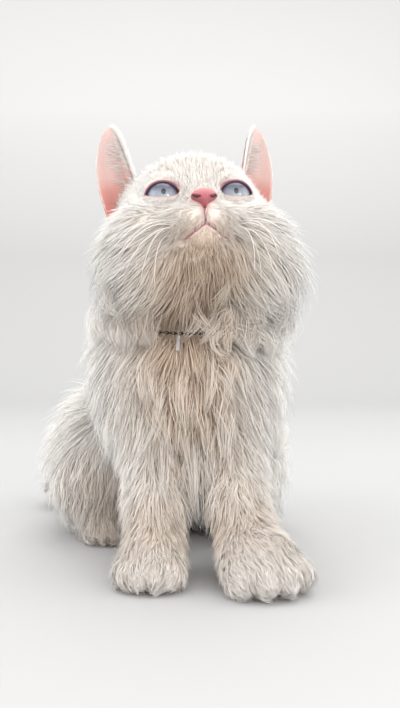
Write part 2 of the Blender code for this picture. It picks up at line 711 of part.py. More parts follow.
def add_ear(name, side, head_clear):
    """A curved sheet with thickness, its root cut to the skull."""
    columns, rows = 9, 8
    shape = bmesh.new()
    grid = []
    for row in range(rows + 1):
        up = (1 + EAR_SINK) * (row / rows) ** 0.85 - EAR_SINK
        up = min(up, 0.995)
        grid.append([shape.verts.new(ear_point(-1 + 2 * c / (columns - 1), up, side)) for c in range(columns)])
    for low, high in zip(grid, grid[1:]):
        for c in range(columns - 1):
            corners = (low[c], low[c + 1], high[c + 1], high[c])
            shape.faces.new(corners if side > 0 else corners[::-1])
    ear = show(from_bmesh("ear_" + name, shape))
    solidify = ear.modifiers.new("thickness", "SOLIDIFY")
    solidify.thickness = EAR_THICKNESS
    solidify.offset = 0
    evaluated(ear)
    boolean(ear, copied(head_clear, "head_clear"), "DIFFERENCE")
    keep_largest(ear)


def on_collar(bearing):
    """The point of the neck's coat at this bearing round the collar, from its front towards +X."""
    turned = Matrix.Rotation(math.radians(COLLAR_SLOPE), 3, "X")
    ray = turned @ Vector((math.sin(math.radians(bearing)), -math.cos(math.radians(bearing)), 0))
    reach = np.linspace(0.015, 0.09, 300)
    places = np.array(COLLAR_CENTRE) + reach[:, None] * np.array(ray)
    first = int(np.argmax(height(places, CAT_FORMS, CORE_SHARE) > 0))
    return COLLAR_CENTRE + ray * reach[first]


def collar_line(steps=32):
    line = [on_collar(360 * i / steps) for i in range(steps)]
    for _ in range(4):
        line = [(line[i - 1] + 2 * line[i] + line[(i + 1) % steps]) / 4 for i in range(steps)]
    return line


def tag_shape(name, line, grow=0.0):
    """A ring round the cord with a small bar hanging from it, laid along the chest."""
    bearing = TAG_BEARING % 360 / 360 * len(line)
    at = int(bearing)
    cord = line[at].lerp(line[(at + 1) % len(line)], bearing - at)
    along = (line[(at + 1) % len(line)] - line[at]).normalized()
    outward = Vector(slope(np.array([cord]), CAT_FORMS, CORE_SHARE)[0]).normalized()
    outward = (outward - along * outward.dot(along)).normalized()
    drop = along.cross(outward)
    if drop.z > 0:
        drop = -drop
    steps = 12
    ring = [cord + TAG_RING * (math.cos(a) * outward + math.sin(a) * drop)
            for a in (2 * math.pi * i / steps for i in range(steps))]
    tag = tube(name, ring, [TAG_WIRE + grow] * steps, sides=0, cyclic=True)
    tilt = (drop + TAG_TILT * outward).normalized()
    face = along.cross(tilt).normalized()
    width, thickness, length = TAG_SIZE
    top = cord + drop * (TAG_RING - TAG_WIRE * TAG_OVERLAP)
    middle = top + tilt * length / 2
    place = Matrix((
        (*(along * (width + 2 * grow)),), (*(face * (thickness + 2 * grow)),), (*(tilt * (length + 2 * grow)),),
    )).transposed().to_4x4()
    place.translation = middle
    shape = bmesh.new()
    bmesh.ops.create_cube(shape, size=1, matrix=place)
    bmesh.ops.recalc_face_normals(shape, faces=shape.faces)
    return boolean(tag, from_bmesh("bar", shape), "UNION")


def add_collar(neighbours):
    """A thin cord in a groove of the coat, with its tag."""
    line = collar_line()
    for node in neighbours:
        bed = tube("bed", line, [COLLAR_CORD + GAP] * len(line), sides=1, cyclic=True)
        boolean(node, bed, "DIFFERENCE")
        boolean(node, tag_shape("tag_bed", line, grow=GAP), "DIFFERENCE")
        keep_largest(node)
    show(tube("collar", line, [COLLAR_CORD] * len(line), sides=1, cyclic=True))
    show(tag_shape("tag", line))


PARENTS = {
    "torso": None, "chest": "torso", "neck": "chest", "head": "neck", "nose": "head",
    "ear_left": "head", "ear_right": "head", "eye_left": "head", "eye_right": "head",
    "collar": "neck", "tag": "collar", "tail_base": "torso", "tail_tip": "tail_base",
    "foreleg_left": "chest", "foreleg_right": "chest",
    "forepaw_left": "foreleg_left", "forepaw_right": "foreleg_right",
    "hindleg_left": "torso", "hindleg_right": "torso",
    "hindpaw_left": "hindleg_left", "hindpaw_right": "hindleg_right",
}
LOOKS = {
    "white_coat": ((0.86, 0.83, 0.78), 0.9, 0.0),
    "ear_skin": ((0.86, 0.55, 0.50), 0.7, 0.0),
    "nose_skin": ((0.72, 0.32, 0.31), 0.5, 0.0),
    "blue_eye": ((0.52, 0.60, 0.72), 0.1, 0.0),
    "dark_cord": ((0.09, 0.08, 0.08), 0.5, 0.6),
    "pale_tag": ((0.78, 0.76, 0.72), 0.3, 0.9),
}
SLOTS = {"nose": "nose_skin", "eye_left": "blue_eye", "eye_right": "blue_eye", "ear_left": "ear_skin",
         "ear_right": "ear_skin", "collar": "dark_cord", "tag": "pale_tag"}


def coloured(name, slot):
    colour, roughness, metallic = LOOKS[slot]
    material = bpy.data.materials.new(slot + "_" + name)
    material.use_nodes = True
    shader = material.node_tree.nodes["Principled BSDF"]
    shader.inputs["Base Color"].default_value = (*colour, 1)
    shader.inputs["Roughness"].default_value = roughness
    shader.inputs["Metallic"].default_value = metallic
    return material


def frame_of(obj):
    """Where a node's own origin goes: its joint with the head's frame, or its middle."""
    if obj.name == "head":
        return HEAD
    if obj.name.startswith("eye_"):
        return eye_frame(1 if obj.name.endswith("left") else -1)
    points = read_points(obj.data)
    return Matrix.Translation((points.min(axis=0) + points.max(axis=0)) / 2)


def finish():
    """Triangles, smooth shading, materials, and each node placed under its parent."""
    shift = Matrix.Translation(-FOOTPRINT_CENTRE)
    frames = {}
    for name, parent in PARENTS.items():
        obj = CAT.objects[name]
        shape = bmesh.new()
        shape.from_mesh(obj.data)
        bmesh.ops.triangulate(shape, faces=shape.faces)
        shape.to_mesh(obj.data)
        shape.free()
        frame = frame_of(obj)
        obj.data.transform(frame.inverted())
        frames[name] = shift @ frame
        obj.parent = CAT.objects[parent] if parent else None
        obj.matrix_basis = frames[parent].inverted() @ frames[name] if parent else frames[name]
        for polygon in obj.data.polygons:
            polygon.use_smooth = name != "tag"
        obj.data.materials.clear()
        obj.data.materials.append(coloured(name, SLOTS.get(name, "white_coat")))
    bpy.context.view_layer.update()


def farther(points, place, reach):
    return np.linalg.norm(points - np.array(place), axis=1) > reach


def near_head(points):
    """Whether points lie above the head's cut or just below it, clear of the ears."""
    turn, about = REGIONS["head"][2:]
    up = Matrix.Rotation(math.radians(turn[0]), 3, "X") @ Vector((0, 0, 1))
    allowed = (points - np.array(about)) @ np.array(up) > -0.030
    for _, side in SIDES:
        root = (Vector(EAR_ROOT_IN) + Vector(EAR_ROOT_OUT)) / 2
        allowed &= farther(points, HEAD @ Vector((side * root.x, root.y, root.z)), CLEAR_OF_EAR)
    return allowed


def clear_of_tag(points):
    return farther(points, on_collar(TAG_BEARING), CLEAR_OF_TAG)


def main():
    body = flesh("body_skin", CAT_FORMS, BODY_VOXEL, BODY_FACES)
    head_skin = flesh("head_skin", [*HEAD_FORMS, TORSO_FORMS[0]], HEAD_VOXEL, HEAD_FACES,
                      around=TORSO_FORMS[1:], lowest=0.190)
    bare_head = copied(head_skin, "bare_head", grow=GAP * 1.5)
    add_locks(head_skin, near_head, LOCK_SEED)
    add_locks(body, clear_of_tag, LOCK_SEED)
    boolean(body, box("floor", (-1, -1, -1), (1, 1, 0)), "DIFFERENCE")
    nodes = {"head": parted("head", head_skin, "head", [])}
    for region in list(REGIONS)[1:]:
        nodes[region] = parted(region, body, region, list(nodes))
    head = nodes["head"]
    for name, side in SIDES:
        add_ear(name, side, bare_head)
    add_eyes(head)
    add_mouth(head)
    add_nose(head)
    keep_largest(head)
    add_collar([nodes["neck"], nodes["chest"], nodes["torso"]])
    for helper in list(HELPERS.objects):
        bpy.data.objects.remove(helper)
    finish()


if __name__ == "__main__":
    main()
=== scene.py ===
"""The looks of a seated white Persian cat: one skin, a long coat of solid tufts, eyes, nose, ears and collar.

Everything is shaped in the sculpting frame of the solids, whose forms and sizes are repeated here, and moved
to the row's frame at the end. The coat is interpolated from guides that walk along the lie of the hair.
"""

import json
import math

import bmesh
import bpy
import numpy as np
from mathutils import Euler, Matrix, Vector
from mathutils.kdtree import KDTree

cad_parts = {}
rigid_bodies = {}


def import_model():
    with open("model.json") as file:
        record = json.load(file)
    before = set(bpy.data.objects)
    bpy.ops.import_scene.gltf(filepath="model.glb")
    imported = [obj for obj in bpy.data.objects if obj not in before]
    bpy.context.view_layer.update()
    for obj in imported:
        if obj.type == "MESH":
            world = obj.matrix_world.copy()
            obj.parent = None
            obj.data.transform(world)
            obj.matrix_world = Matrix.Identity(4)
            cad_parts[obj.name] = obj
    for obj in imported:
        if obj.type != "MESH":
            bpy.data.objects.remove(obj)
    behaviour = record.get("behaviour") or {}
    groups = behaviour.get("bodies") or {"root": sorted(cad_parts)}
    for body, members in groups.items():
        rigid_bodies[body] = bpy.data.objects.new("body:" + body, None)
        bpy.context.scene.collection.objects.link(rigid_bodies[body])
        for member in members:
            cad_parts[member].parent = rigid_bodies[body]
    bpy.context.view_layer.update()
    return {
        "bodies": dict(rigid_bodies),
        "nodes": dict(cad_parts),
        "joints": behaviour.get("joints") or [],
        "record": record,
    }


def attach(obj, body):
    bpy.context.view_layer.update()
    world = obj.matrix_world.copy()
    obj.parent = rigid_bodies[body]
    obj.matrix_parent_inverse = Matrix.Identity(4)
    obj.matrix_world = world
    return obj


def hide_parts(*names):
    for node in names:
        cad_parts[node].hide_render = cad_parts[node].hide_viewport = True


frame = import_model()

FOOTPRINT_CENTRE = Vector((-0.0346, 0.0395, 0.0))   # moved to the origin at the end

HEAD_PLACE = Vector((-0.0045, -0.045, 0.243))
HEAD_PITCH, HEAD_YAW, HEAD_ROLL = 22.0, 7.5, -2.3   # degrees: lifted, turned to +X, tipped

EYE_RADIUS = 0.0122
EYE_PLACE = (0.0243, -0.0285, 0.0020)   # of the left eye, in the head's frame
EYE_TURN = 4.0                  # degrees that each eye looks outwards
EYE_OPENING = (0.0115, 0.0070, 0.0059)  # half width, height above and height below its centre
LID_THICKNESS = 0.0013

NOSE_PLACE = (0.0, -0.0520, -0.0118)
NOSE_RADII = (0.0088, 0.0050, 0.0080)

EAR_ROOT_IN = (0.0375, 0.002, 0.032)    # of the left ear, in the head's frame
EAR_ROOT_OUT = (0.0600, 0.016, 0.018)
EAR_TIP = (0.0580, 0.006, 0.0845)
EAR_CUP = 0.013                 # how deep the cup is at its root
EAR_THICKNESS = 0.0018

COLLAR_CENTRE = Vector((-0.008, -0.030, 0.176))
COLLAR_SLOPE = 17.0             # degrees that its front hangs below its back
COLLAR_CORD = 0.0013            # radius of the cord
TAG_BEARING = -9.0              # degrees round the collar from its front
TAG_SIZE = (0.0024, 0.0012, 0.0115)
TAG_RING, TAG_WIRE = 0.0024, 0.0005     # radii of the ring and of its wire

COAT_MIX = 0.008                # reach over which two forms share their coat

# Places in the head's frame where the coat thins out: centre, where it is shortest, where it is whole again
THIN_COAT = (
    (EYE_PLACE, 0.0125, 0.0260),
    ((-EYE_PLACE[0], *EYE_PLACE[1:]), 0.0125, 0.0260),
    (NOSE_PLACE, 0.0080, 0.0240),
    ((0.0, -0.048, -0.031), 0.0100, 0.0230),
)
THINNEST = 0.12                 # share of the coat that is left at those places

# Places in the head's frame from which the hair turns away: centre, reach and strength
PARTINGS = (
    ((EYE_PLACE[0], -0.0420, EYE_PLACE[2] - 0.002), 0.0150, 2.0),
    ((-EYE_PLACE[0], -0.0420, EYE_PLACE[2] - 0.002), 0.0150, 2.0),
    ((0.0, -0.0520, -0.0130), 0.0150, 1.6),
)
SIDES = (("left", 1), ("right", -1))
NOSE_PAD = (0.0, -0.0515, -0.0114)      # the leather's middle, in the head's frame
NOSE_SIZE = (0.0088, 0.0050, 0.0068)
SLIT = ((0.0030, -0.0128, 0.0003), (0.0042, -0.0127, 0.00055), (0.0058, -0.0121, 0.0005),
        (0.0076, -0.0108, 0.0004), (0.0090, -0.0094, 0.0003))    # x, z and radius of a nostril's slit
MOUTH = ((0.0, -0.0482, -0.0276), (0.0026, -0.0478, -0.0291), (0.0053, -0.0474, -0.0311),
         (0.0080, -0.0463, -0.0328), (0.0106, -0.0446, -0.0345), (0.0130, -0.0428, -0.0356))
PHILTRUM = ((0.0, -0.0500, -0.0175), (0.0, -0.0498, -0.0210), (0.0, -0.0495, -0.0244), (0.0, -0.0482, -0.0276))
WHISKER_ROOTS = ((0.0227, -0.0448, -0.0249), (0.0192, -0.0463, -0.0288), (0.0167, -0.0453, -0.0312),
                 (0.0214, -0.0409, -0.0300), (0.0250, -0.0406, -0.0254), (0.0178, -0.0410, -0.0331),
                 (0.0200, -0.0455, -0.0262), (0.0155, -0.0455, -0.0300))
WHISKER_TIPS = {
    "left": ((0.0609, -0.104, 0.2203), (0.0571, -0.108, 0.2076), (0.0476, -0.106, 0.1981),
             (0.0539, -0.100, 0.2139), (0.0650, -0.092, 0.2300), (0.0393, -0.102, 0.1949),
             (0.0520, -0.112, 0.2012), (0.0340, -0.110, 0.1981)),
    "right": ((-0.0609, -0.104, 0.2095), (-0.0555, -0.108, 0.2032), (-0.0508, -0.106, 0.1949),
              (-0.0432, -0.100, 0.2108), (-0.0647, -0.092, 0.2203), (-0.0286, -0.102, 0.1886),
              (-0.0539, -0.112, 0.2076), (-0.0381, -0.110, 0.1917)),
}

LID_BARE = 0.0018               # hairless band above the upper lid's edge

SKIN_VOXEL = 0.0018
SKIN_LIFT = 0.04                # share of the coat's depth that the skin keeps, as the undercoat
FACE_REACH = 0.044              # how far round the muzzle the skin is finer
UNWRAP_FACES = 6000             # triangles of the coarse skin on which the coat is laid out
SEED = 7

PATCH = 0.003                   # side of a tuft's patch on the coat's map
TUFTS_A_PIECE = 8500
CANDIDATES = 300000             # places tried for a root
GUIDE_CANDIDATES = 22000
GUIDE_LENGTH = (0.0045, 1.72)   # metres, and times the coat's depth
GUIDE_STEPS = 5
SHORT_HAIR = 0.0085             # coats under this depth are made of short tufts
TUFT_WIDTH = (0.00034, 0.0125)   # metres, and times the coat's depth
CLUMP = 0.10

# Where the coat is creamier and darker: partly the coat's own creamy tint, partly painted shade under the chin, down
# the neck and chest, on the muzzle, between the eyes and on the feet; centre in the sculpting frame, reach and
# strength
CREAM_AND_SHADE = (
    ((0.003, -0.085, 0.188), 0.042, 1.25),
    ((-0.012, -0.080, 0.135), 0.042, 1.2),
    ((-0.002, -0.070, 0.085), 0.035, 0.9),
    ((0.004, -0.118, 0.226), 0.018, 0.80),
    ((0.002, -0.060, 0.268), 0.020, 0.45),
    ((-0.030, -0.085, 0.016), 0.030, 0.9),
    ((0.036, -0.090, 0.016), 0.034, 0.9),
    ((-0.070, -0.000, 0.020), 0.035, 0.6),
)
GAZE_YAW, GAZE_PITCH = 6.5, 14.0
FRAME_HEIGHT, FOCAL, HORIZON = 708, 780.0, 340.0    # pixels of the 400 x 708 frame


def unit(vectors):
    return vectors / np.maximum(np.linalg.norm(vectors, axis=-1, keepdims=True), 1e-9)


def head_frame():
    """The head's own frame, in which the face looks along -Y, placed in the sculpting frame."""
    pitch = Matrix.Rotation(math.radians(-HEAD_PITCH), 4, "X")
    yaw = Matrix.Rotation(math.radians(HEAD_YAW), 4, "Z")
    roll = Matrix.Rotation(math.radians(HEAD_ROLL), 4, "Y")
    return Matrix.Translation(HEAD_PLACE) @ yaw @ pitch @ roll


HEAD = head_frame()
BODY = Matrix.Identity(4)


class Form:
    """One ellipsoid of flesh or, where an end is given, a tapered limb from centre to end."""

    def __init__(self, centre, radii, blend, coat, lie, end=None, turn=(0, 0, 0), frame=BODY):
        local = Matrix.Translation(centre) @ Euler([math.radians(a) for a in turn]).to_matrix().to_4x4()
        self.place = frame @ local
        self.radii = radii
        self.blend = blend
        self.coat = coat
        self.lie = np.array((frame.to_3x3() @ Vector(lie)).normalized(), np.float32)
        self.end = None if end is None else np.array(local.inverted() @ Vector(end), np.float32)
        self.to_local = np.array(self.place.inverted(), np.float32)

    def distance(self, points):
        local = points @ self.to_local[:3, :3].T + self.to_local[:3, 3]
        if self.end is None:
            radii = np.array(self.radii, np.float32)
            near = np.linalg.norm(local / radii, axis=1)
            slope = np.linalg.norm(local / radii**2, axis=1)
            return near * (near - 1) / np.maximum(slope, 1e-6)
        along = np.clip(local @ self.end / (self.end @ self.end), 0, 1)
        radius = self.radii[0] + along * (self.radii[1] - self.radii[0])
        return np.linalg.norm(local - along[:, None] * self.end, axis=1) - radius


def both(place, radii, blend, coat, lie, **more):
    """The same form on the head's left and right."""
    made = []
    for _, side in SIDES:
        mirrored = [(side * v[0], v[1], v[2]) for v in (place, lie)]
        extra = dict(more)
        if "end" in extra:
            extra["end"] = (side * extra["end"][0], *extra["end"][1:])
        if "turn" in extra:
            extra["turn"] = (extra["turn"][0], side * extra["turn"][1], side * extra["turn"][2])
        made.append(Form(mirrored[0], radii, blend, coat, mirrored[1], frame=HEAD, **extra))
    return made


HEAD_FORMS = [
    Form((0, 0.006, 0.006), (0.046, 0.044, 0.040), 0.012, 0.007, (0, 0.9, 0.2), frame=HEAD),
    Form((0, -0.021, 0.012), (0.033, 0.017, 0.019), 0.010, 0.005, (0, 0.5, 0.9), frame=HEAD),
    *both((0.033, -0.012, -0.016), (0.022, 0.025, 0.020), 0.012, 0.012, (0.8, 0.5, -0.5)),
    Form((0.033, 0.004, -0.036), (0.029, 0.030, 0.023), 0.014, 0.024, (0.7, 0.2, -0.8), frame=HEAD),
    Form((-0.029, 0.004, -0.032), (0.029, 0.030, 0.024), 0.014, 0.021, (-0.7, 0.2, -0.8), frame=HEAD),
    *both((0.0105, -0.0405, -0.0232), (0.0130, 0.0120, 0.0098), 0.005, 0.0025, (0.8, 0.5, -0.3)),
    *both((0.020, -0.029, -0.018), (0.015, 0.012, 0.012), 0.008, 0.004, (0.8, 0.5, -0.2)),
    Form((0, -0.025, 0.008), (0.0125, 0.0095), 0.008, 0.0025, (0, 0.3, 0.95),
         end=(0, -0.0420, -0.0090), frame=HEAD),
    Form((0, -0.0365, -0.0345), (0.0110, 0.0085, 0.0075), 0.005, 0.004, (0, 0.2, -1), frame=HEAD),
    Form((0, -0.016, -0.036), (0.028, 0.025, 0.015), 0.012, 0.015, (0, 0.1, -1), frame=HEAD),
]
TORSO_FORMS = [
    Form((-0.006, -0.030, 0.214), (0.038, 0.043), 0.016, 0.024, (0, 0.1, -1), end=(-0.010, 0.002, 0.172)),
    Form((-0.013, 0.004, 0.132), (0.047, 0.054, 0.066), 0.020, 0.021, (-0.05, 0.4, -0.9), turn=(-12, 0, 0)),
    Form((-0.008, -0.034, 0.126), (0.034, 0.030, 0.044), 0.020, 0.025, (0, 0.0, -1)),
    Form((-0.010, 0.022, 0.166), (0.033, 0.034, 0.032), 0.020, 0.021, (-0.05, 0.6, -0.8)),
    Form((-0.022, 0.052, 0.082), (0.052, 0.060, 0.056), 0.024, 0.021, (-0.05, 0.4, -0.9)),
    Form((-0.032, 0.100, 0.062), (0.056, 0.052, 0.054), 0.024, 0.022, (-0.05, 0.6, -0.8)),
    Form((0.032, -0.014, 0.130), (0.020, 0.028, 0.038), 0.020, 0.019, (0.1, 0.2, -1)),
    Form((-0.052, -0.012, 0.138), (0.019, 0.028, 0.038), 0.020, 0.017, (-0.1, 0.2, -1)),
]


def foreleg(elbow, wrist, heel, toes_to, size):
    """Upper leg, lower leg and paw with four toes fanned about the way that it points."""
    down = (0, 0, -1)
    point = Vector(toes_to).normalized()
    across = Vector((-point.y, point.x, 0))
    forms = [
        Form(elbow, (0.021, 0.0140), 0.016, 0.011, down, end=wrist),
        Form(wrist, (0.0140, 0.0150), 0.010, 0.009, down, end=heel),
    ]
    palm = Vector(heel) + point * 0.012 * size
    palm_radii = (0.0175 * size, 0.0175 * size, 0.0135 * size)
    forms.append(Form((palm.x, palm.y, 0.0125 * size), palm_radii, 0.010, 0.0060, (*point.xy, -0.4)))
    for offset, reach in ((-1.5, 0.0215), (-0.5, 0.0270), (0.5, 0.0270), (1.5, 0.0215)):
        toe = Vector(heel) + size * (point * reach + across * offset * 0.0092)
        heading = math.degrees(math.atan2(point.y, point.x)) + 90 + offset * 6
        radii = (0.0062 * size, 0.0105 * size, 0.0082 * size)
        forms.append(Form((toe.x, toe.y, 0.0085 * size), radii, 0.004, 0.0036,
                          (*point.xy, -0.5), turn=(0, 0, heading)))
    return forms


def hindleg(thigh, knee, hock, toe_base, side):
    """Thigh, shank, the long foot flat on the floor, and its toes."""
    point = (Vector(toe_base) - Vector(hock)).normalized()
    across = Vector((-point.y, point.x, 0)).normalized()
    forms = [
        Form(thigh, (0.030, 0.050, 0.054), 0.020, 0.021, (side * 0.1, 0.2, -1)),
        Form(knee, (0.024, 0.016), 0.016, 0.014, (side * 0.1, 0.1, -1), end=hock),
        Form(hock, (0.0145, 0.0135), 0.010, 0.008, (*point.xy, -0.5), end=toe_base),
    ]
    for offset, reach in ((-1.5, 0.006), (-0.5, 0.011), (0.5, 0.011), (1.5, 0.006)):
        toe = Vector(toe_base) + point * reach + across * offset * 0.0082
        heading = math.degrees(math.atan2(point.y, point.x)) + 90 + offset * 6
        forms.append(Form((toe.x, toe.y, 0.0080), (0.0056, 0.0100, 0.0076), 0.004, 0.0036,
                          (*point.xy, -0.5), turn=(0, 0, heading)))
    return forms


LEG_FORMS = [
    *foreleg((-0.038, -0.030, 0.106), (-0.031, -0.064, 0.048), (-0.030, -0.078, 0.020), (-0.10, -1, 0), 1.08),
    *foreleg((0.022, -0.030, 0.106), (0.026, -0.066, 0.048), (0.0325, -0.083, 0.020), (0.36, -1, 0), 1.36),
    *hindleg((-0.083, 0.060, 0.058), (-0.084, 0.034, 0.048), (-0.078, 0.092, 0.018),
             (-0.072, 0.020, 0.014), -1),
    *hindleg((0.025, 0.056, 0.064), (0.033, 0.034, 0.050), (0.038, 0.088, 0.018),
             (0.044, 0.012, 0.014), 1),
]
TAIL_PATH = ((-0.034, 0.132, 0.046), (-0.040, 0.166, 0.034), (-0.064, 0.190, 0.027), (-0.098, 0.188, 0.025),
             (-0.124, 0.172, 0.024), (-0.131, 0.148, 0.023))
TAIL_RADII = (0.0130, 0.0120, 0.0110, 0.0105, 0.0100, 0.0080)
TAIL_FORMS = [
    Form(a, (ra, rb), 0.010, 0.013, Vector(b) - Vector(a), end=b)
    for a, b, ra, rb in zip(TAIL_PATH, TAIL_PATH[1:], TAIL_RADII, TAIL_RADII[1:])
]
LID_RADIUS = EYE_RADIUS + LID_THICKNESS
LID_FORMS = both(EYE_PLACE, (LID_RADIUS, LID_RADIUS, LID_RADIUS), 0.004, 0.0012, (0.2, 0.3, 0.9))
CAT_FORMS = HEAD_FORMS + TORSO_FORMS + LEG_FORMS + TAIL_FORMS + LID_FORMS


def thinning(points):
    """Share of the coat that is left round the eyes, the nose and the mouth."""
    share = np.ones(len(points))
    for centre, shortest, whole in THIN_COAT:
        reach = np.linalg.norm(points - np.array(HEAD @ Vector(centre)), axis=1)
        rise = np.clip((reach - shortest) / (whole - shortest), 0, 1)
        share = np.minimum(share, THINNEST + (1 - THINNEST) * rise * rise * (3 - 2 * rise))
    return share


def coat_at(points, forms):
    """The coat's depth and its lie at these points, shared between the forms nearest to them."""
    distances = np.stack([form.distance(points) for form in forms])
    weights = np.exp(-(distances - distances.min(axis=0)) / COAT_MIX)
    weights /= weights.sum(axis=0)
    depth = weights.T @ np.array([form.coat for form in forms], np.float32) * thinning(points)
    lie = weights.T @ np.array([form.lie for form in forms])
    for centre, reach, strength in PARTINGS:
        away = points - np.array(HEAD @ Vector(centre), np.float32)
        far = np.linalg.norm(away, axis=1, keepdims=True)
        lie = lie + strength * np.exp(-(far / reach) ** 2) * away / far
    return depth, unit(lie)


def height(points, forms, share):
    """Signed height above the skin, or above the given share of the coat."""
    total = forms[0].distance(points)
    for form in forms[1:]:
        other = form.distance(points)
        near = np.clip(1 - np.abs(total - other) / form.blend, 0, 1)
        total = np.minimum(total, other) - near**2 * form.blend / 4
    if share == 0:
        return total
    return total - share * coat_at(points, forms)[0]


STEP = 2e-4
CORNERS = np.array(((1, 1, 1), (1, -1, -1), (-1, 1, -1), (-1, -1, 1)), np.float32) * STEP


def height_and_slope(points, forms, share):
    """The height and its gradient, from four places round each point."""
    around = np.stack([height(points + corner, forms, share) for corner in CORNERS])
    return around.mean(axis=0), np.einsum("kn,kc->nc", around, CORNERS) / (4 * STEP**2)


def settled(points, forms, share, level=0.0, rounds=3):
    """Points moved along the slope until they lie at the level."""
    for _ in range(rounds):
        high, rise = height_and_slope(points, forms, share)
        step = (high - level) / np.maximum((rise**2).sum(axis=1), 0.05)
        points = points - np.clip(step, -0.004, 0.004)[:, None] * rise
    return points


def along_coat(points, forms):
    """Outward normals of the skin, and the coat's lie laid flat on it."""
    normals = unit(height_and_slope(points, forms, 0)[1])
    lie = coat_at(points, forms)[1]
    return normals, unit(lie - (lie * normals).sum(axis=1, keepdims=True) * normals)


# Strength of the creamy tint and of the painted shade at these points, for the coat and the skin
def cream_and_shade(points):
    total = np.zeros(len(points), np.float32)
    for centre, reach, strength in CREAM_AND_SHADE:
        total += strength * np.exp(-(np.linalg.norm(points - np.array(centre), axis=1) / reach) ** 2)
    return np.minimum(total, 1)


def in_frame(points, frame_matrix):
    """The points in the coordinates of a frame."""
    back = np.array(frame_matrix.inverted())
    return points @ back[:3, :3].T + back[:3, 3]


def off_line(points, line):
    """Distance of the points from a line through the given places, and how far along it is nearest."""
    dense = np.linspace(0, 1, 80)
    known = np.linspace(0, 1, len(line))
    samples = np.stack([np.interp(dense, known, column) for column in np.array(line, float).T], axis=1)
    size = points.shape[1]
    away = np.linalg.norm(points[:, None] - samples[None, :, :size], axis=2)
    return away.min(axis=1), dense[away.argmin(axis=1)]


# Making and changing objects

def new_object(name, mesh):
    obj = bpy.data.objects.new(name, mesh)
    bpy.context.scene.collection.objects.link(obj)
    mesh.shade_smooth()
    return obj


def from_bmesh(name, shape):
    mesh = bpy.data.meshes.new(name)
    shape.to_mesh(mesh)
    shape.free()
    return new_object(name, mesh)


def read_points(mesh):
    points = np.empty(len(mesh.vertices) * 3, np.float32)
    mesh.vertices.foreach_get("co", points)
    return points.reshape(-1, 3)


def write_points(mesh, points):
    mesh.vertices.foreach_set("co", np.asarray(points, np.float32).ravel())
    mesh.update()


def write_value(mesh, name, values):
    mesh.attributes.new(name, "FLOAT", "POINT").data.foreach_set("value", np.asarray(values, np.float32))


def write_vectors(mesh, name, vectors):
    flat = np.asarray(vectors, np.float32).ravel()
    mesh.attributes.new(name, "FLOAT_VECTOR", "POINT").data.foreach_set("vector", flat)


def evaluated(obj):
    """The object's mesh with its modifiers applied, kept on the object."""
    graph = bpy.context.evaluated_depsgraph_get()
    mesh = bpy.data.meshes.new_from_object(obj.evaluated_get(graph))
    obj.modifiers.clear()
    obj.data = mesh
    return obj


def boolean(obj, other, operation):
    modifier = obj.modifiers.new("boolean", "BOOLEAN")
    modifier.operation = operation
    modifier.solver = "MANIFOLD"
    modifier.object = other
    evaluated(obj)
    bpy.data.objects.remove(other)
    return obj


def ball(name, radius, place, segments=48):
    """A ball with its poles on the frame's Y axis."""
    shape = bmesh.new()
    turned = place @ Matrix.Rotation(math.radians(90), 4, "X")
    bmesh.ops.create_uvsphere(shape, u_segments=segments, v_segments=segments * 2 // 3, radius=radius,
                              matrix=turned)
    return from_bmesh(name, shape)


def tube(name, points, radii, sides=10, cyclic=False):
    """A tube through the points with a radius at each, capped unless cyclic."""
    points = [Vector(p) for p in points]
    count = len(points)
    shape = bmesh.new()
    rings = []
    side = None
    for i, (point, radius) in enumerate(zip(points, radii)):
        ahead = points[(i + 1) % count] if cyclic or i + 1 < count else points[i]
        behind = points[i - 1] if cyclic or i else points[i]
        along = (ahead - behind).normalized()
        if side is None:
            side = along.orthogonal().normalized()
        side = (side - along * side.dot(along)).normalized()
        up = along.cross(side)
        turn = [2 * math.pi * k / sides for k in range(sides)]
        rings.append([shape.verts.new(point + radius * (math.cos(a) * side + math.sin(a) * up)) for a in turn])
    pairs = list(zip(rings, rings[1:]))
    if cyclic:
        gap = min(range(sides), key=lambda k: (rings[0][k].co - rings[-1][0].co).length)
        pairs.append((rings[-1], rings[0][gap:] + rings[0][:gap]))
    for low, high in pairs:
        for k in range(sides):
            shape.faces.new((low[k], low[(k + 1) % sides], high[(k + 1) % sides], high[k]))
    if not cyclic:
        shape.faces.new(rings[0][::-1])
        shape.faces.new(rings[-1])
    bmesh.ops.recalc_face_normals(shape, faces=shape.faces)
    return from_bmesh(name, shape)


def prism(name, outline, depth, place):
    """A flat outline in the frame's XZ plane, extruded along -Y."""
    shape = bmesh.new()
    near = [shape.verts.new(place @ Vector((x, -depth, z))) for x, z in outline]
    far = [shape.verts.new(place @ Vector((x, 0, z))) for x, z in outline]
    shape.faces.new(near)
    shape.faces.new(far[::-1])
    for i in range(len(outline)):
        j = (i + 1) % len(outline)
        shape.faces.new((near[i], far[i], far[j], near[j]))
    bmesh.ops.recalc_face_normals(shape, faces=shape.faces)
    return from_bmesh(name, shape)


# The skin

def eye_frame(side):
    """A frame at an eye's centre, looking along its own -Y."""
    return HEAD @ Matrix.Translation((side * EYE_PLACE[0], *EYE_PLACE[1:])) @ \
        Matrix.Rotation(math.radians(side * EYE_TURN), 4, "Z")


def eye_outline(steps=64, spread=0.0):
    """The almond between the lids, pointed at its corners, as x and z."""
    half, above, below = EYE_OPENING
    outline = []
    for i in range(steps):
        angle = 2 * math.pi * i / steps
        rise = (above if math.sin(angle) > 0 else below) + spread
        outline.append(((half + spread) * math.cos(angle), rise * math.sin(angle) * abs(math.sin(angle)) ** 0.25))
    return outline


def lid_edge(side, radius, steps=64):
    """The rim of the lids, laid on a ball about the eye's centre."""
    return [eye_frame(side) @ Vector((x, -math.sqrt(radius**2 - x * x - z * z), z)) for x, z in eye_outline(steps)]


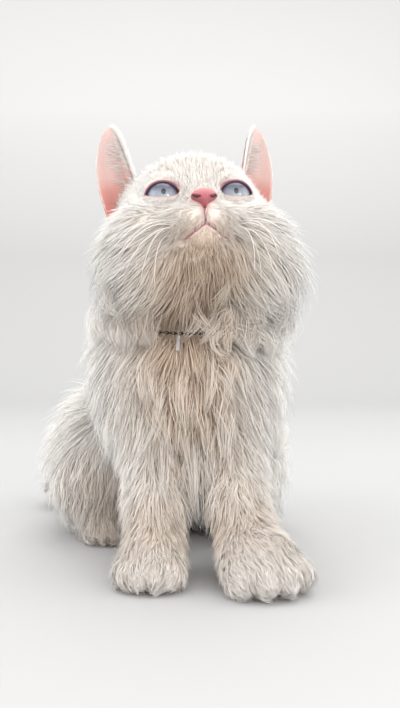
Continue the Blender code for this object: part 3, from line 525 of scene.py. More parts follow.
def blockout(forms):
    """The forms as overlapping balls in one mesh; a limb is a row of them."""
    shape = bmesh.new()
    bmesh.ops.create_icosphere(shape, subdivisions=3, radius=1)
    shape.verts.ensure_lookup_table()
    unit_ball = np.array([v.co for v in shape.verts])
    faces = np.array([[v.index for v in f.verts] for f in shape.faces])
    shape.free()
    points, triangles = [], []
    for form in forms:
        length = 0 if form.end is None else np.linalg.norm(form.end)
        for along in np.linspace(0, 1, 1 + math.ceil(2 * length / min(form.radii))):
            if form.end is None:
                local = unit_ball * np.array(form.radii)
            else:
                radius = form.radii[0] + along * (form.radii[1] - form.radii[0])
                local = unit_ball * radius + along * form.end
            place = np.array(form.place)
            triangles.append(faces + len(points) * len(unit_ball))
            points.append(local @ place[:3, :3].T + place[:3, 3])
    mesh = bpy.data.meshes.new("skin")
    mesh.from_pydata(np.concatenate(points), [], np.concatenate(triangles))
    return new_object("skin", mesh)


def make_skin():
    """The whole body's skin in one mesh, finer on the face, with the mouth and the eyes' openings."""
    skin = blockout(CAT_FORMS)
    remesh = skin.modifiers.new("skin", "REMESH")
    remesh.mode = "VOXEL"
    remesh.voxel_size = SKIN_VOXEL * 1
    evaluated(skin)
    shape = bmesh.new()
    shape.from_mesh(skin.data)
    muzzle = HEAD @ Vector((0, -0.045, -0.010))
    near = [e for e in shape.edges if all((v.co - muzzle).length < FACE_REACH for v in e.verts)]
    bmesh.ops.subdivide_edges(shape, edges=near, cuts=3, use_grid_fill=True)
    shape.to_mesh(skin.data)
    shape.free()
    points = settled(read_points(skin.data), CAT_FORMS, SKIN_LIFT)
    near = np.flatnonzero(np.linalg.norm(points - np.array(muzzle), axis=1) < FACE_REACH)
    normals = unit(height_and_slope(points[near], CAT_FORMS, 0)[1])
    points[near] += normals * face_relief(in_frame(points[near], HEAD))[:, None]
    points[:, 2] = np.maximum(points[:, 2], 0.0004)
    write_points(skin.data, points)
    for _, side in SIDES:
        boolean(skin, prism("opening", eye_outline(), EYE_RADIUS * 2, eye_frame(side)), "DIFFERENCE")
        boolean(skin, ball("socket", EYE_RADIUS + 0.0001, eye_frame(side)), "DIFFERENCE")
    colour_skin(skin.data)
    return skin


def mirrored(local):
    """Points of the head's frame brought to its left half."""
    return np.stack([np.abs(local[:, 0]), local[:, 1], local[:, 2]], axis=1)


def nose_width(rise):
    """Share of its full width that the nose leather keeps, from its lowest point at -1 to its highest at 1."""
    return np.interp(rise, (-1, -0.62, -0.25, 0.1, 0.55, 1), (0.22, 0.30, 0.66, 1.0, 0.97, 0.75))


def from_nose(half):
    """Distance from the nose's middle, where 1 is the edge of the leather; half is mirrored to the left."""
    local = (half - np.array(NOSE_PAD)) / np.array(NOSE_SIZE)
    local[:, 0] /= nose_width(local[:, 2])
    return np.linalg.norm(local, axis=1)


def face_relief(local):
    """How far the skin stands out or in at the mouth, the groove above it and the nose."""
    half = mirrored(local)
    mouth = off_line(half, MOUTH)[0]
    groove = off_line(half, PHILTRUM)[0]
    relief = -0.0016 * np.exp(-(mouth / 0.0008) ** 2) + 0.0004 * np.exp(-((mouth - 0.0018) / 0.0008) ** 2)
    return relief - 0.0010 * np.exp(-(groove / 0.0006) ** 2)


def colour_skin(mesh):
    """Writes where the skin is flushed, where it is dark, and where it and the coat above it take a creamy tint and
    painted shade.
    """
    points = read_points(mesh)
    flush = np.zeros(len(points))
    dark = np.zeros(len(points))
    near = np.flatnonzero(np.linalg.norm(points - np.array(HEAD @ Vector((0, -0.04, -0.01))), axis=1) < 0.05)
    for _, side in SIDES:
        edge = off_line(points[near], lid_edge(side, LID_RADIUS))[0]
        above = in_frame(points[near], eye_frame(side))[:, 2] > -0.001
        flush[near] = np.maximum(flush[near], np.where(above, 1.0, 0.3) * np.exp(-(edge / 0.006) ** 2))
        dark[near] = np.maximum(dark[near], np.where(above, 1.0, 0.3) * np.exp(-(edge / 0.0016) ** 2))
    half = mirrored(in_frame(points[near], HEAD))
    mouth = np.minimum(off_line(half, MOUTH)[0], off_line(half, PHILTRUM)[0])
    nose = from_nose(half)
    flush[near] = np.maximum(flush[near], np.maximum(np.exp(-(mouth / 0.0026) ** 2), np.clip(2.0 - nose, 0, 1)))
    dark[near] = np.maximum(dark[near], 0.9 * np.exp(-(mouth / 0.0009) ** 2))
    write_value(mesh, "flush", flush)
    write_value(mesh, "dark", dark)
    write_value(mesh, "cream_shade", cream_and_shade(points))


# The coat

TO_ROW = Matrix.Translation(-FOOTPRINT_CENTRE)
PROFILES = {3: (0.9, 0.8), 5: (0.8, 1.0, 0.85, 0.5)}


def tuft_mesh(name, paths, normals, widths, uvs, cream_shade, rng):
    """One closed three-sided tuft for each path, narrowing to its tip.

    paths is tufts x points x 3, and the last point is the tip.
    """
    count, points = paths.shape[:2]
    rings = points - 1
    profile = PROFILES.get(points) or tuple(np.sin(np.linspace(0.9, 2.7, rings)) * 0.9 + 0.1)
    heading = unit(np.gradient(paths, axis=1))
    across = unit(np.cross(normals[:, None, :], heading))
    up = unit(np.cross(heading, across))
    width = widths[:, None, None] * np.asarray(profile)[None, :, None]
    a, u, p = across[:, :rings], up[:, :rings], paths[:, :rings]
    corners = np.stack([p - a * width / 2 - u * width / 6, p + a * width / 2 - u * width / 6,
                        p + u * width / 3], axis=2)
    verts = np.concatenate([corners.reshape(count, rings * 3, 3), paths[:, -1:]], axis=1)
    per = rings * 3 + 1
    faces = [(0, 2, 1)]
    for low in range(0, (rings - 1) * 3, 3):
        for k in range(3):
            m = (k + 1) % 3
            faces += [(low + k, low + m, low + 3 + m), (low + k, low + 3 + m, low + 3 + k)]
    last = (rings - 1) * 3
    faces += [(last + k, last + (k + 1) % 3, per - 1) for k in range(3)]
    indices = (np.array(faces)[None] + (np.arange(count) * per)[:, None, None]).reshape(-1)
    mesh = bpy.data.meshes.new(name)
    mesh.vertices.add(count * per)
    write_points(mesh, verts.reshape(-1, 3))
    mesh.loops.add(len(indices))
    mesh.loops.foreach_set("vertex_index", indices.astype(np.int32))
    mesh.polygons.add(len(indices) // 3)
    mesh.polygons.foreach_set("loop_start", np.arange(0, len(indices), 3, dtype=np.int32))
    mesh.update(calc_edges=True)
    along = np.append(np.repeat(np.linspace(0, 1, points)[:-1], 3), 1.0)
    around = np.append(np.tile([0.0, 0.5, 1.0], rings), 0.5)
    patch = np.stack([around - 0.5, along - 0.5], axis=1) * PATCH
    placed = (uvs[:, None] + patch[None]).reshape(-1, 2)
    layer = mesh.uv_layers.new(name="OFBake")
    layer.data.foreach_set("uv", placed[indices].astype(np.float32).ravel())
    write_value(mesh, "along", np.tile(along, count))
    write_value(mesh, "tint", np.repeat(rng.uniform(0, 1, count), per))
    write_value(mesh, "cream_shade", np.repeat(cream_shade, per))
    write_vectors(mesh, "skin_normal", np.repeat(normals, per, axis=0))
    return new_object(name, mesh)


def unwrapped(skin):
    """A coarse copy of the skin, unwrapped, on which every root has its place: triangles and their UVs."""
    coarse = new_object("coarse", skin.data.copy())
    decimate = coarse.modifiers.new("fewer", "DECIMATE")
    decimate.ratio = UNWRAP_FACES / (2 * len(coarse.data.polygons))
    coarse.modifiers.new("triangles", "TRIANGULATE")
    evaluated(coarse)
    bpy.ops.object.select_all(action="DESELECT")
    bpy.context.view_layer.objects.active = coarse
    coarse.select_set(True)
    bpy.ops.object.mode_set(mode="EDIT")
    bpy.ops.mesh.select_all(action="SELECT")
    bpy.ops.uv.smart_project(angle_limit=math.radians(66), island_margin=0.004)
    bpy.ops.object.mode_set(mode="OBJECT")
    mesh = coarse.data
    corners = np.empty(len(mesh.loops), np.int32)
    mesh.loops.foreach_get("vertex_index", corners)
    uvs = np.empty(len(mesh.loops) * 2, np.float32)
    mesh.uv_layers.active.data.foreach_get("uv", uvs)
    places = read_points(mesh)[corners].reshape(-1, 3, 3)
    bpy.data.objects.remove(coarse)
    return places, uvs.reshape(-1, 3, 2)


def bare(points):
    """Where no hair grows: between the lids, on the nose leather, and along the lips."""
    local = in_frame(points, HEAD)
    half = mirrored(local)
    none = from_nose(half) < 1.08
    near = np.flatnonzero(np.linalg.norm(local - np.array((0, -0.045, -0.02)), axis=1) < 0.03)
    none[near] |= off_line(half[near], MOUTH)[0] < 0.0010
    none[near] |= off_line(half[near], PHILTRUM)[0] < 0.0008
    spread = 0.0006
    for _, side in SIDES:
        eye = in_frame(points, eye_frame(side))
        rise = np.where(eye[:, 2] > 0, EYE_OPENING[1] + LID_BARE, EYE_OPENING[2] + 0.0002)
        width = np.clip(1 - (eye[:, 0] / (EYE_OPENING[0] + spread)) ** 2, 0, 1) ** 0.625
        none |= (np.abs(eye[:, 2]) < rise * width) & (eye[:, 1] < 0) & (eye[:, 1] > -0.03)
    return none | (points[:, 2] < 0.0012)


def roots_on(places, uvs, tries, rng):
    """Roots spread over the skin, denser where the coat is short, with their UVs."""
    edges = np.cross(places[:, 1] - places[:, 0], places[:, 2] - places[:, 0])
    areas = np.linalg.norm(edges, axis=1)
    chosen = rng.choice(len(places), tries, p=areas / areas.sum())
    mix = rng.dirichlet((1, 1, 1), tries).astype(np.float32)
    roots = (places[chosen] * mix[:, :, None]).sum(axis=1)
    coats = coat_at(roots, CAT_FORMS)[0]
    dense = np.clip(0.010 / (coats + 0.0015), 0.55, 3.2) / 3.2
    kept = (rng.random(tries) < dense) & ~bare(roots)
    roots = settled(roots[kept], CAT_FORMS, 0, rounds=2)
    place = (uvs[chosen[kept]] * mix[kept][:, :, None]).sum(axis=1)
    free = ~bare(roots)
    return roots[free], place[free]


def grow_guides(roots, rng):
    """Guides walk from the skin along the lie and rise to the coat's full depth."""
    lengths = GUIDE_LENGTH[0] + GUIDE_LENGTH[1] * coat_at(roots, CAT_FORMS)[0]
    normals, lies = along_coat(roots, CAT_FORMS)
    first = normals
    points = roots
    path = [roots]
    stray = rng.normal(0, 0.20, len(roots))[:, None].astype(np.float32)
    curl = rng.normal(0, 0.40, len(roots))[:, None].astype(np.float32)
    for step in range(1, GUIDE_STEPS):
        along = step / (GUIDE_STEPS - 1)
        across = np.cross(normals, lies)
        points = points + unit(lies + across * (stray + curl * along)) * lengths[:, None] / (GUIDE_STEPS - 1)
        points = settled(points, CAT_FORMS, min(1.05 * along**0.8, 1.0), rounds=2)
        points[:, 2] = np.maximum(points[:, 2], 0.0012)
        new_normals, new_lies = along_coat(points, CAT_FORMS)
        normals, lies = unit(normals + new_normals), unit(lies + new_lies)
        path.append(points)
    return np.stack(path, axis=1), first


def interpolated(roots, normals, guides, guide_normals, rng):
    """A path for each root, shared between the three nearest guides and drawn a little to the nearest one."""
    tree = KDTree(len(guides))
    for i, root in enumerate(guides[:, 0]):
        tree.insert(root, i)
    tree.balance()
    near = np.array([[(i, d) for _, i, d in tree.find_n(root, 3)] for root in roots])
    index = near[:, :, 0].astype(int)
    share = 1 / (near[:, :, 1] + 0.001)
    share *= np.clip((guide_normals[index] * normals[:, None]).sum(axis=2), 0.02, 1)
    share /= share.sum(axis=1, keepdims=True)
    offsets = guides[index] - guides[index][:, :, :1]
    offsets = (offsets * share[:, :, None, None]).sum(axis=1)
    count = len(roots)
    along = np.linspace(0, 1, GUIDE_STEPS)
    offsets *= rng.uniform(0.66, 1.10, count)[:, None, None]
    paths = roots[:, None] + offsets
    pull = CLUMP * rng.uniform(0.2, 1.2, count)
    pull *= (guide_normals[index[:, 0]] * normals).sum(axis=1) > 0.5
    paths += (guides[index[:, 0]] - paths) * (pull[:, None] * along[None] ** 1.3)[:, :, None]
    lengths = np.linalg.norm(offsets[:, -1], axis=1)
    wave = np.sin(along[None] * rng.uniform(3, 7, count)[:, None] + rng.uniform(0, 6.3, count)[:, None])
    wave -= wave[:, :1]
    across = unit(np.cross(normals, offsets[:, -1]))
    paths += across[:, None] * (wave * lengths[:, None] * 0.035 * along[None])[:, :, None]
    stray = rng.normal(0, 1, (count, 3)) * (0.05 * lengths + 0.0002)[:, None]
    paths += stray[:, None] * (along**1.5)[None, :, None]
    wisps = (rng.random(count) < 0.07) * rng.uniform(0.05, 0.16, count) * lengths
    paths += normals[:, None] * (wisps[:, None] * along[None] ** 2)[:, :, None]
    paths[:, :, 2] = np.maximum(paths[:, :, 2], 0.0006)
    return paths


def make_coat(skin):
    """The whole coat, in pieces by region and by length of hair."""
    rng = np.random.default_rng(SEED)
    places, uvs = unwrapped(skin)
    guide_roots, _ = roots_on(places, uvs, GUIDE_CANDIDATES, rng)
    guides, guide_normals = grow_guides(guide_roots, rng)
    roots, root_uvs = roots_on(places, uvs, CANDIDATES // (1), rng)
    normals = unit(height_and_slope(roots, CAT_FORMS, 0)[1])
    coats = coat_at(roots, CAT_FORMS)[0]
    paths = interpolated(roots, normals, guides, guide_normals, rng)
    widths = (TUFT_WIDTH[0] + TUFT_WIDTH[1] * np.minimum(coats, 0.014)) * rng.uniform(0.7, 1.3, len(roots))
    # Creamy tint and painted shade of each tuft, read at its tip
    cream_shade = cream_and_shade(paths[:, -1])
    distances = np.stack([form.distance(roots) for form in CAT_FORMS])
    zones = np.repeat([0, 1, 2, 3, 0], [len(HEAD_FORMS), len(TORSO_FORMS), len(LEG_FORMS), len(TAIL_FORMS),
                                        len(LID_FORMS)])
    group = zones[distances.argmin(axis=0)]
    made = []
    for number, label in enumerate(("head", "body", "legs", "tail")):
        for length, steps in (("short", 2), ("long", 1)):
            members = np.flatnonzero((group == number) & ((coats < SHORT_HAIR) == (length == "short")))
            if not len(members):
                continue
            members = members[np.argsort(roots[members, 2])]
            parts = np.array_split(members, math.ceil(len(members) / TUFTS_A_PIECE / steps))
            for part, chunk in enumerate(parts):
                piece = tuft_mesh(f"coat_{label}_{length}_{part + 1}", paths[chunk][:, ::steps], normals[chunk],
                                  widths[chunk], root_uvs[chunk], cream_shade[chunk], rng)
                made.append(piece)
    tree = KDTree(len(roots))
    for i, root in enumerate(roots):
        tree.insert(root, i)
    tree.balance()
    made += [make_locks(kind, tree, root_uvs, rng) for kind in LOCKS]
    return made


# Locks: bundles of hairs that lie over the coat or hang free: where they start in the sculpting frame, which way
# they head, how many there are, their length, how far they turn in degrees, and whether they hang free
LOCKS = {
    "curls": ((-0.002, -0.085, 0.156), (0.044, -0.050, 0.186), (0.5, 0.0, -0.5), 14, (0.016, 0.028), 150, False),
    "ruff": ((-0.072, -0.085, 0.172), (0.060, -0.030, 0.188), (0.1, 0.0, -1.0), 76, (0.016, 0.026), 40, False),
    "bib": ((-0.044, -0.090, 0.095), (0.028, -0.075, 0.150), (0.0, 0.0, -1.0), 30, (0.024, 0.038), 30, False),
    "fringe": ((-0.026, -0.066, 0.072), (0.020, -0.058, 0.096), (0.0, 0.05, -1.0), 20, (0.034, 0.052), 15, True),
    "elbows": ((-0.062, -0.050, 0.075), (0.050, -0.030, 0.105), (0.0, 0.1, -1.0), 26, (0.020, 0.032), 20, False),
}
LOCK_HAIRS = 18
TAG_PLACE, TAG_ROOM = (-0.016, -0.080, 0.166), (0.012, 0.050, 0.030)     # no lock starts here
LOCK_STEPS = 6


def make_locks(kind, tree, root_uvs, rng):
    low, high, heading, count, (least, most), turn, free = LOCKS[kind]
    starts = rng.uniform(low, high, (count, 3)).astype(np.float32)
    points = settled(starts, CAT_FORMS, 0.8, rounds=5)
    points = points[np.linalg.norm((points - np.array(TAG_PLACE)) / np.array(TAG_ROOM), axis=1) > 1]
    count = len(points)
    lengths = rng.uniform(least, most, count)
    turns = np.radians(rng.uniform(-turn, turn, count))
    way = unit(np.array(heading) + rng.normal(0, 0.35 * turn / 90 + 0.1, (count, 3)))
    line = [points]
    for step in range(1, LOCK_STEPS):
        along = step / (LOCK_STEPS - 1)
        normals = unit(height_and_slope(points, CAT_FORMS, 0)[1])
        if free:
            way = unit(way + rng.normal(0, 0.03, (count, 3)))
        else:
            angle = (turns * 2 * along / (LOCK_STEPS - 1))[:, None]
            way = way - (way * normals).sum(axis=1, keepdims=True) * normals
            way = unit(way * np.cos(angle) + np.cross(normals, way) * np.sin(angle))
        points = points + way * (lengths / (LOCK_STEPS - 1))[:, None]
        if not free:
            points = settled(points, CAT_FORMS, 1.0, level=0.0016 * math.sin(math.pi * along), rounds=2)
        line.append(points)
    line = np.stack(line, axis=1)
    normals = unit(height_and_slope(line[:, 0], CAT_FORMS, 0)[1])
    hairs = np.repeat(line, LOCK_HAIRS, axis=0)
    bundle = rng.normal(0, 1, (len(hairs), 3))
    along = np.linspace(0, 1, LOCK_STEPS)
    open_ended = 0.0030 * (1 - along) + 0.0007
    hairs += bundle[:, None] * open_ended[None, :, None]
    hairs = hairs[:, :1] + (hairs - hairs[:, :1]) * rng.uniform(0.75, 1.05, len(hairs))[:, None, None]
    hairs[:, :, 2] = np.maximum(hairs[:, :, 2], 0.001)
    nearest = [tree.find(point)[1] for point in hairs[:, 0]]
    widths = 0.00036 * rng.uniform(0.7, 1.2, len(hairs))
    # Creamy tint and painted shade of each hair of the lock, read at its tip
    cream_shade = cream_and_shade(hairs[:, -1]) * rng.uniform(0.3, 0.9, len(hairs))
    return tuft_mesh("coat_" + kind, hairs, np.repeat(normals, LOCK_HAIRS, axis=0), widths, root_uvs[nearest], cream_shade, rng)


# Materials

class Nodes:
    """A new material's node tree, with short ways to add to it."""

    def __init__(self, name, roughness):
        self.material = bpy.data.materials.new(name)
        self.material.use_nodes = True
        self.tree = self.material.node_tree
        self.shader = self.tree.nodes["Principled BSDF"]
        self.shader.inputs["Roughness"].default_value = roughness

    def link(self, source, target):
        self.tree.links.new(source, target)

    def add(self, kind, **values):
        node = self.tree.nodes.new("ShaderNode" + kind)
        for key, value in values.items():
            setattr(node, key, value)
        return node

    def attribute(self, name, output="Fac"):
        return self.add("Attribute", attribute_name=name).outputs[output]

    def ramp(self, source, *stops):
        node = self.add("ValToRGB")
        elements = node.color_ramp.elements
        elements[0].position, elements[0].color = stops[0][0], (*stops[0][1], 1)
        elements[1].position, elements[1].color = stops[-1][0], (*stops[-1][1], 1)
        for position, colour in stops[1:-1]:
            elements.new(position).color = (*colour, 1)
        self.link(source, node.inputs["Fac"])
        return node.outputs["Color"]

    def mix(self, factor, first, second, kind="MIX"):
        node = self.add("MixRGB", blend_type=kind)
        for source, target in ((factor, "Fac"), (first, "Color1"), (second, "Color2")):
            if isinstance(source, (int, float)):
                node.inputs[target].default_value = source
            elif isinstance(source, tuple):
                node.inputs[target].default_value = (*source, 1)
            else:
                self.link(source, node.inputs[target])
        return node.outputs["Color"]

    def span(self, source, low, high):
        node = self.add("MapRange")
        node.inputs["To Min"].default_value = low
        node.inputs["To Max"].default_value = high
        self.link(source, node.inputs["Value"])
        return node.outputs["Result"]

    def noise(self, scale, detail=3.0):
        node = self.add("TexNoise")
        node.inputs["Scale"].default_value = scale
        node.inputs["Detail"].default_value = detail
        return node

    def bump(self, source, strength, distance):
        node = self.add("Bump")
        node.inputs["Strength"].default_value = strength
        node.inputs["Distance"].default_value = distance
        self.link(source, node.inputs["Height"])
        self.link(node.outputs["Normal"], self.shader.inputs["Normal"])

    def colour(self, source):
        self.link(source, self.shader.inputs["Base Color"])

    def let_through(self, colour, share):
        """Lets a share of the light through to the far side."""
        through = self.add("BsdfTranslucent")
        self.link(colour, through.inputs["Color"])
        mix = self.add("MixShader")
        mix.inputs["Fac"].default_value = share
        self.link(self.shader.outputs["BSDF"], mix.inputs[1])
        self.link(through.outputs["BSDF"], mix.inputs[2])
        self.link(mix.outputs["Shader"], self.tree.nodes["Material Output"].inputs["Surface"])
        return through


def coat_material():
    made = Nodes("white_coat", 0.8)
    along = made.attribute("along")
    white = made.ramp(along, (0.0, (0.91, 0.86, 0.80)), (0.5, (0.95, 0.925, 0.885)), (1.0, (0.97, 0.955, 0.93)))
    # Tan, darker towards the roots: the coat's creamy tint mixed with painted shade under the chin, down the neck and
    # chest, on the muzzle, between the eyes and on the feet
    cream_and_shade_colour = made.ramp(along, (0.0, (0.56, 0.38, 0.26)), (0.5, (0.75, 0.575, 0.435)), (1.0, (0.84, 0.71, 0.585)))
    colour = made.mix(made.attribute("cream_shade"), white, cream_and_shade_colour)
    shade = made.add("HueSaturation")
    made.link(colour, shade.inputs["Color"])
    made.link(made.span(made.attribute("tint"), 0.92, 1.03), shade.inputs["Value"])
    made.colour(shade.outputs["Color"])
    made.shader.inputs["Sheen Weight"].default_value = 0.3
    made.shader.inputs["Sheen Roughness"].default_value = 0.6
    own = made.add("NewGeometry").outputs["Normal"]
    lean = made.add("VectorMath", operation="SCALE")
    lean.inputs["Scale"].default_value = 1.4
    made.link(made.attribute("skin_normal", "Vector"), lean.inputs[0])
    total = made.add("VectorMath", operation="ADD")
    made.link(own, total.inputs[0])
    made.link(lean.outputs["Vector"], total.inputs[1])
    even = made.add("VectorMath", operation="NORMALIZE")
    made.link(total.outputs["Vector"], even.inputs[0])
    made.link(even.outputs["Vector"], made.shader.inputs["Normal"])
    path = made.add("LightPath")
    lit = made.add("Math", operation="MULTIPLY")
    made.link(path.outputs["Is Shadow Ray"], lit.inputs[0])
    lit.inputs[1].default_value = 0.75
    clear = made.add("BsdfTransparent")
    clear.inputs["Color"].default_value = (1.0, 0.96, 0.91, 1)
    mix = made.add("MixShader")
    made.link(lit.outputs["Value"], mix.inputs["Fac"])
    made.link(made.shader.outputs["BSDF"], mix.inputs[1])
    made.link(clear.outputs["BSDF"], mix.inputs[2])
    made.link(mix.outputs["Shader"], made.tree.nodes["Material Output"].inputs["Surface"])
    return made.material


def skin_material():
    made = Nodes("pink_skin", 0.6)
    # The skin under those places takes the same creamy tint and painted shade as its coat
    pale = made.mix(made.attribute("cream_shade"), (0.84, 0.77, 0.70), (0.68, 0.53, 0.42))
    mottled = made.mix(0.25, pale, made.ramp(made.noise(300).outputs["Fac"], (0.3, (0.75, 0.62, 0.55)),
                                             (0.7, (0.90, 0.84, 0.78))))
    pink = made.mix(made.attribute("flush"), mottled, (0.60, 0.31, 0.32))
    made.colour(made.mix(made.attribute("dark"), pink, (0.13, 0.06, 0.08)))
    made.bump(made.noise(1400).outputs["Fac"], 0.3, 0.0003)
    return made.material


def eye_material():
    made = Nodes("blue_eye", 0.3)
    made.shader.inputs["Coat Weight"].default_value = 0.7
    made.shader.inputs["Specular IOR Level"].default_value = 0.2
    made.shader.inputs["Coat Roughness"].default_value = 0.02
    ring = made.attribute("ring")
    iris = made.ramp(ring, (0.0, (0.18, 0.20, 0.23)), (0.24, (0.34, 0.37, 0.40)), (0.62, (0.35, 0.37, 0.41)),
                     (0.80, (0.18, 0.20, 0.29)), (0.87, (0.06, 0.05, 0.08)), (0.93, (0.30, 0.20, 0.20)))
    fibre = made.noise(1.0, 4.0)
    made.link(made.attribute("streak", "Vector"), fibre.inputs["Vector"])
    streaks = made.ramp(fibre.outputs["Fac"], (0.30, (0.72, 0.74, 0.80)), (0.70, (1.0, 1.0, 1.0)))
    iris = made.mix(0.8, iris, streaks, "MULTIPLY")
    # Painted shade of the upper lid across the top of the iris, and painted light brightening its lower part
    lit = made.ramp(made.attribute("rise"), (0.30, (1.25, 1.25, 1.20)), (0.48, (0.80, 0.82, 0.86)), (0.62, (0.34, 0.33, 0.42)),
                    (0.72, (0.16, 0.14, 0.20)))
    iris = made.mix(1.0, iris, lit, "MULTIPLY")
    pupil = made.ramp(made.attribute("pupil"), (0.135, (1.0, 1.0, 1.0)), (0.165, (0.0, 0.0, 0.0)))
    made.colour(made.mix(pupil, iris, (0.012, 0.012, 0.018)))
    return made.material


def ear_material():
    made = Nodes("ear_skin", 0.55)
    deep = made.ramp(made.attribute("rise"), (0.0, (0.86, 0.34, 0.29)), (0.30, (0.90, 0.48, 0.43)),
                     (0.45, (0.94, 0.70, 0.65)), (1.0, (0.95, 0.80, 0.76)))
    veins = made.ramp(made.noise(90, 5.0).outputs["Fac"], (0.35, (0.86, 0.70, 0.68)), (0.65, (1.0, 1.0, 1.0)))
    colour = made.mix(0.8, deep, veins, "MULTIPLY")
    made.colour(colour)
    made.bump(made.noise(700).outputs["Fac"], 0.25, 0.0003)
    made.let_through(colour, 0.35)
    return made.material


def nose_material():
    made = Nodes("nose_skin", 0.42)
    made.shader.inputs["Specular IOR Level"].default_value = 0.6
    leather = made.ramp(made.attribute("rise"), (0.0, (0.36, 0.08, 0.10)), (0.45, (0.47, 0.12, 0.15)),
                        (1.0, (0.62, 0.30, 0.28)))
    cells = made.add("TexVoronoi")
    cells.inputs["Scale"].default_value = 1700
    pores = made.ramp(cells.outputs["Distance"], (0.0, (1.0, 1.0, 1.0)), (0.6, (0.80, 0.72, 0.72)))
    colour = made.mix(0.7, leather, pores, "MULTIPLY")
    made.colour(made.mix(made.attribute("dark"), colour, (0.045, 0.012, 0.014)))
    made.bump(cells.outputs["Distance"], 0.35, 0.0002)
    return made.material


def plain_material(name, colour, roughness, metal=0.0):
    made = Nodes(name, roughness)
    made.shader.inputs["Metallic"].default_value = metal
    worn = tuple(0.6 * c for c in colour)
    made.colour(made.ramp(made.noise(260).outputs["Fac"], (0.35, worn), (0.6, colour)))
    return made.material


# Eyes, nose and ears

def make_eye(side, label):
    """A globe with a slight corneal bulge, marked by distance from the middle of its pupil."""
    gaze = Matrix.Translation(eye_frame(side).translation) @ \
        Matrix.Rotation(math.radians(GAZE_YAW), 4, "Z") @ Matrix.Rotation(math.radians(-GAZE_PITCH), 4, "X")
    eye = ball("eye_globe_" + label, 1.0, Matrix.Identity(4), 96)
    points = unit(read_points(eye.data))
    angle = np.arccos(np.clip(-points[:, 1], -1, 1))
    bulge = np.clip(1 - (angle / math.radians(50)) ** 2, 0, 1) * 0.0005
    radius = EYE_RADIUS - 0.0001 + bulge
    placed = (points * radius[:, None]) @ np.array(gaze.to_3x3()).T + np.array(gaze.translation)
    write_points(eye.data, placed)
    front = points[:, 1] < 0
    write_value(eye.data, "ring", np.where(front, np.hypot(points[:, 0], points[:, 2]), 1))
    write_value(eye.data, "pupil", np.where(front, np.hypot(points[:, 0] * 1.25, points[:, 2] * 0.9), 1))
    # Height on the globe, which the iris's painted lid shade at the top and painted light at the bottom follow
    write_value(eye.data, "rise", 0.5 + 0.5 * points[:, 2])
    turn = np.arctan2(points[:, 2], points[:, 0])
    streak = np.stack([np.cos(turn) * 7, np.sin(turn) * 7, np.hypot(points[:, 0], points[:, 2]) * 1.5], axis=1)
    write_vectors(eye.data, "streak", streak)
    return eye


def make_nose():
    """The nose leather: broad wings above, a narrow column below, and a curled slit on each side."""
    nose = ball("nose_leather", 1.0, Matrix.Identity(4), 128)
    points = read_points(nose.data).astype(float)
    rise = points[:, 2].copy()
    points[:, 0] *= nose_width(rise)
    points = points * np.array(NOSE_SIZE) + np.array(NOSE_PAD)
    half = mirrored(points)
    line = np.array(SLIT)
    away, along = off_line(half[:, ::2], line[:, :2])
    radius = np.interp(along, np.linspace(0, 1, len(line)), line[:, 2])
    front = points[:, 1] < NOSE_PAD[1] + 0.002
    dent = np.exp(-(away / radius) ** 2) * front
    lip = np.exp(-((away - 2.0 * radius) / (0.9 * radius)) ** 2) * front
    column = np.exp(-(half[:, 0] / 0.0005) ** 2) * (points[:, 2] < -0.0125) * front
    points[:, 1] += dent * radius * 2.6 - lip * 0.00035 + column * 0.0004
    write_points(nose.data, points)
    nose.data.transform(HEAD)
    write_value(nose.data, "dark", np.clip(np.exp(-(away / (1.15 * radius)) ** 2) * 1.25, 0, 1) * front)
    write_value(nose.data, "rise", 0.5 + 0.5 * rise)
    return nose


def make_rims(side, label):
    """The dark edge of the upper lid and the thin pink edge of the lower one."""
    edge = lid_edge(side, EYE_RADIUS + 0.0007)
    radii = [0.00042 + 0.00022 * max(math.sin(2 * math.pi * i / len(edge)), 0) for i in range(len(edge))]
    rim = tube("lid_rim_" + label, edge, radii, sides=8, cyclic=True)
    above = in_frame(read_points(rim.data), eye_frame(side))[:, 2] > -0.0008
    write_value(rim.data, "dark", np.where(above, 0.85, 0.15))
    write_value(rim.data, "flush", np.full(len(rim.data.vertices), 1.0))
    write_value(rim.data, "cream_shade", np.zeros(len(rim.data.vertices)))
    return rim


def ear_point(across, up, side):
    """A point of the ear's sheet: across from -1 at its inner edge to 1 at its outer edge."""
    root_in, root_out, tip = (Vector(v) for v in (EAR_ROOT_IN, EAR_ROOT_OUT, EAR_TIP))
    middle = (root_in + root_out) / 2
    half = (root_out - root_in) / 2
    width = (1 - max(up, 0.0) ** 3.0) ** 0.62
    spine = middle.lerp(tip, up) + Vector((0.002, 0.0, 0)) * math.sin(math.pi * up)
    back = Vector((-0.35, 0.94, 0.0)).normalized()
    cup = EAR_CUP * max(1 - up, 0.0) ** 0.7 * (1 - across**2)
    place = spine + half * across * width * 1.04 + back * cup
    return HEAD @ Vector((side * place.x, place.y, place.z))


def make_ear(side, label):
    columns, rows = 25, 22
    shape = bmesh.new()
    grid = []
    rise = []
    for row in range(rows + 1):
        up = min(-0.16 + 1.16 * (row / rows) ** 0.85, 0.995)
        grid.append([shape.verts.new(ear_point(-1 + 2 * c / (columns - 1), up, side)) for c in range(columns)])
        rise += [max(up, 0)] * columns
    for low, high in zip(grid, grid[1:]):
        for c in range(columns - 1):
            corners = (low[c], low[c + 1], high[c + 1], high[c])
            shape.faces.new(corners if side > 0 else corners[::-1])
    ear = from_bmesh("ear_shell_" + label, shape)
    write_value(ear.data, "rise", rise)
    solidify = ear.modifiers.new("thickness", "SOLIDIFY")
    solidify.thickness = 0.0012
    solidify.offset = 0
    return evaluated(ear)


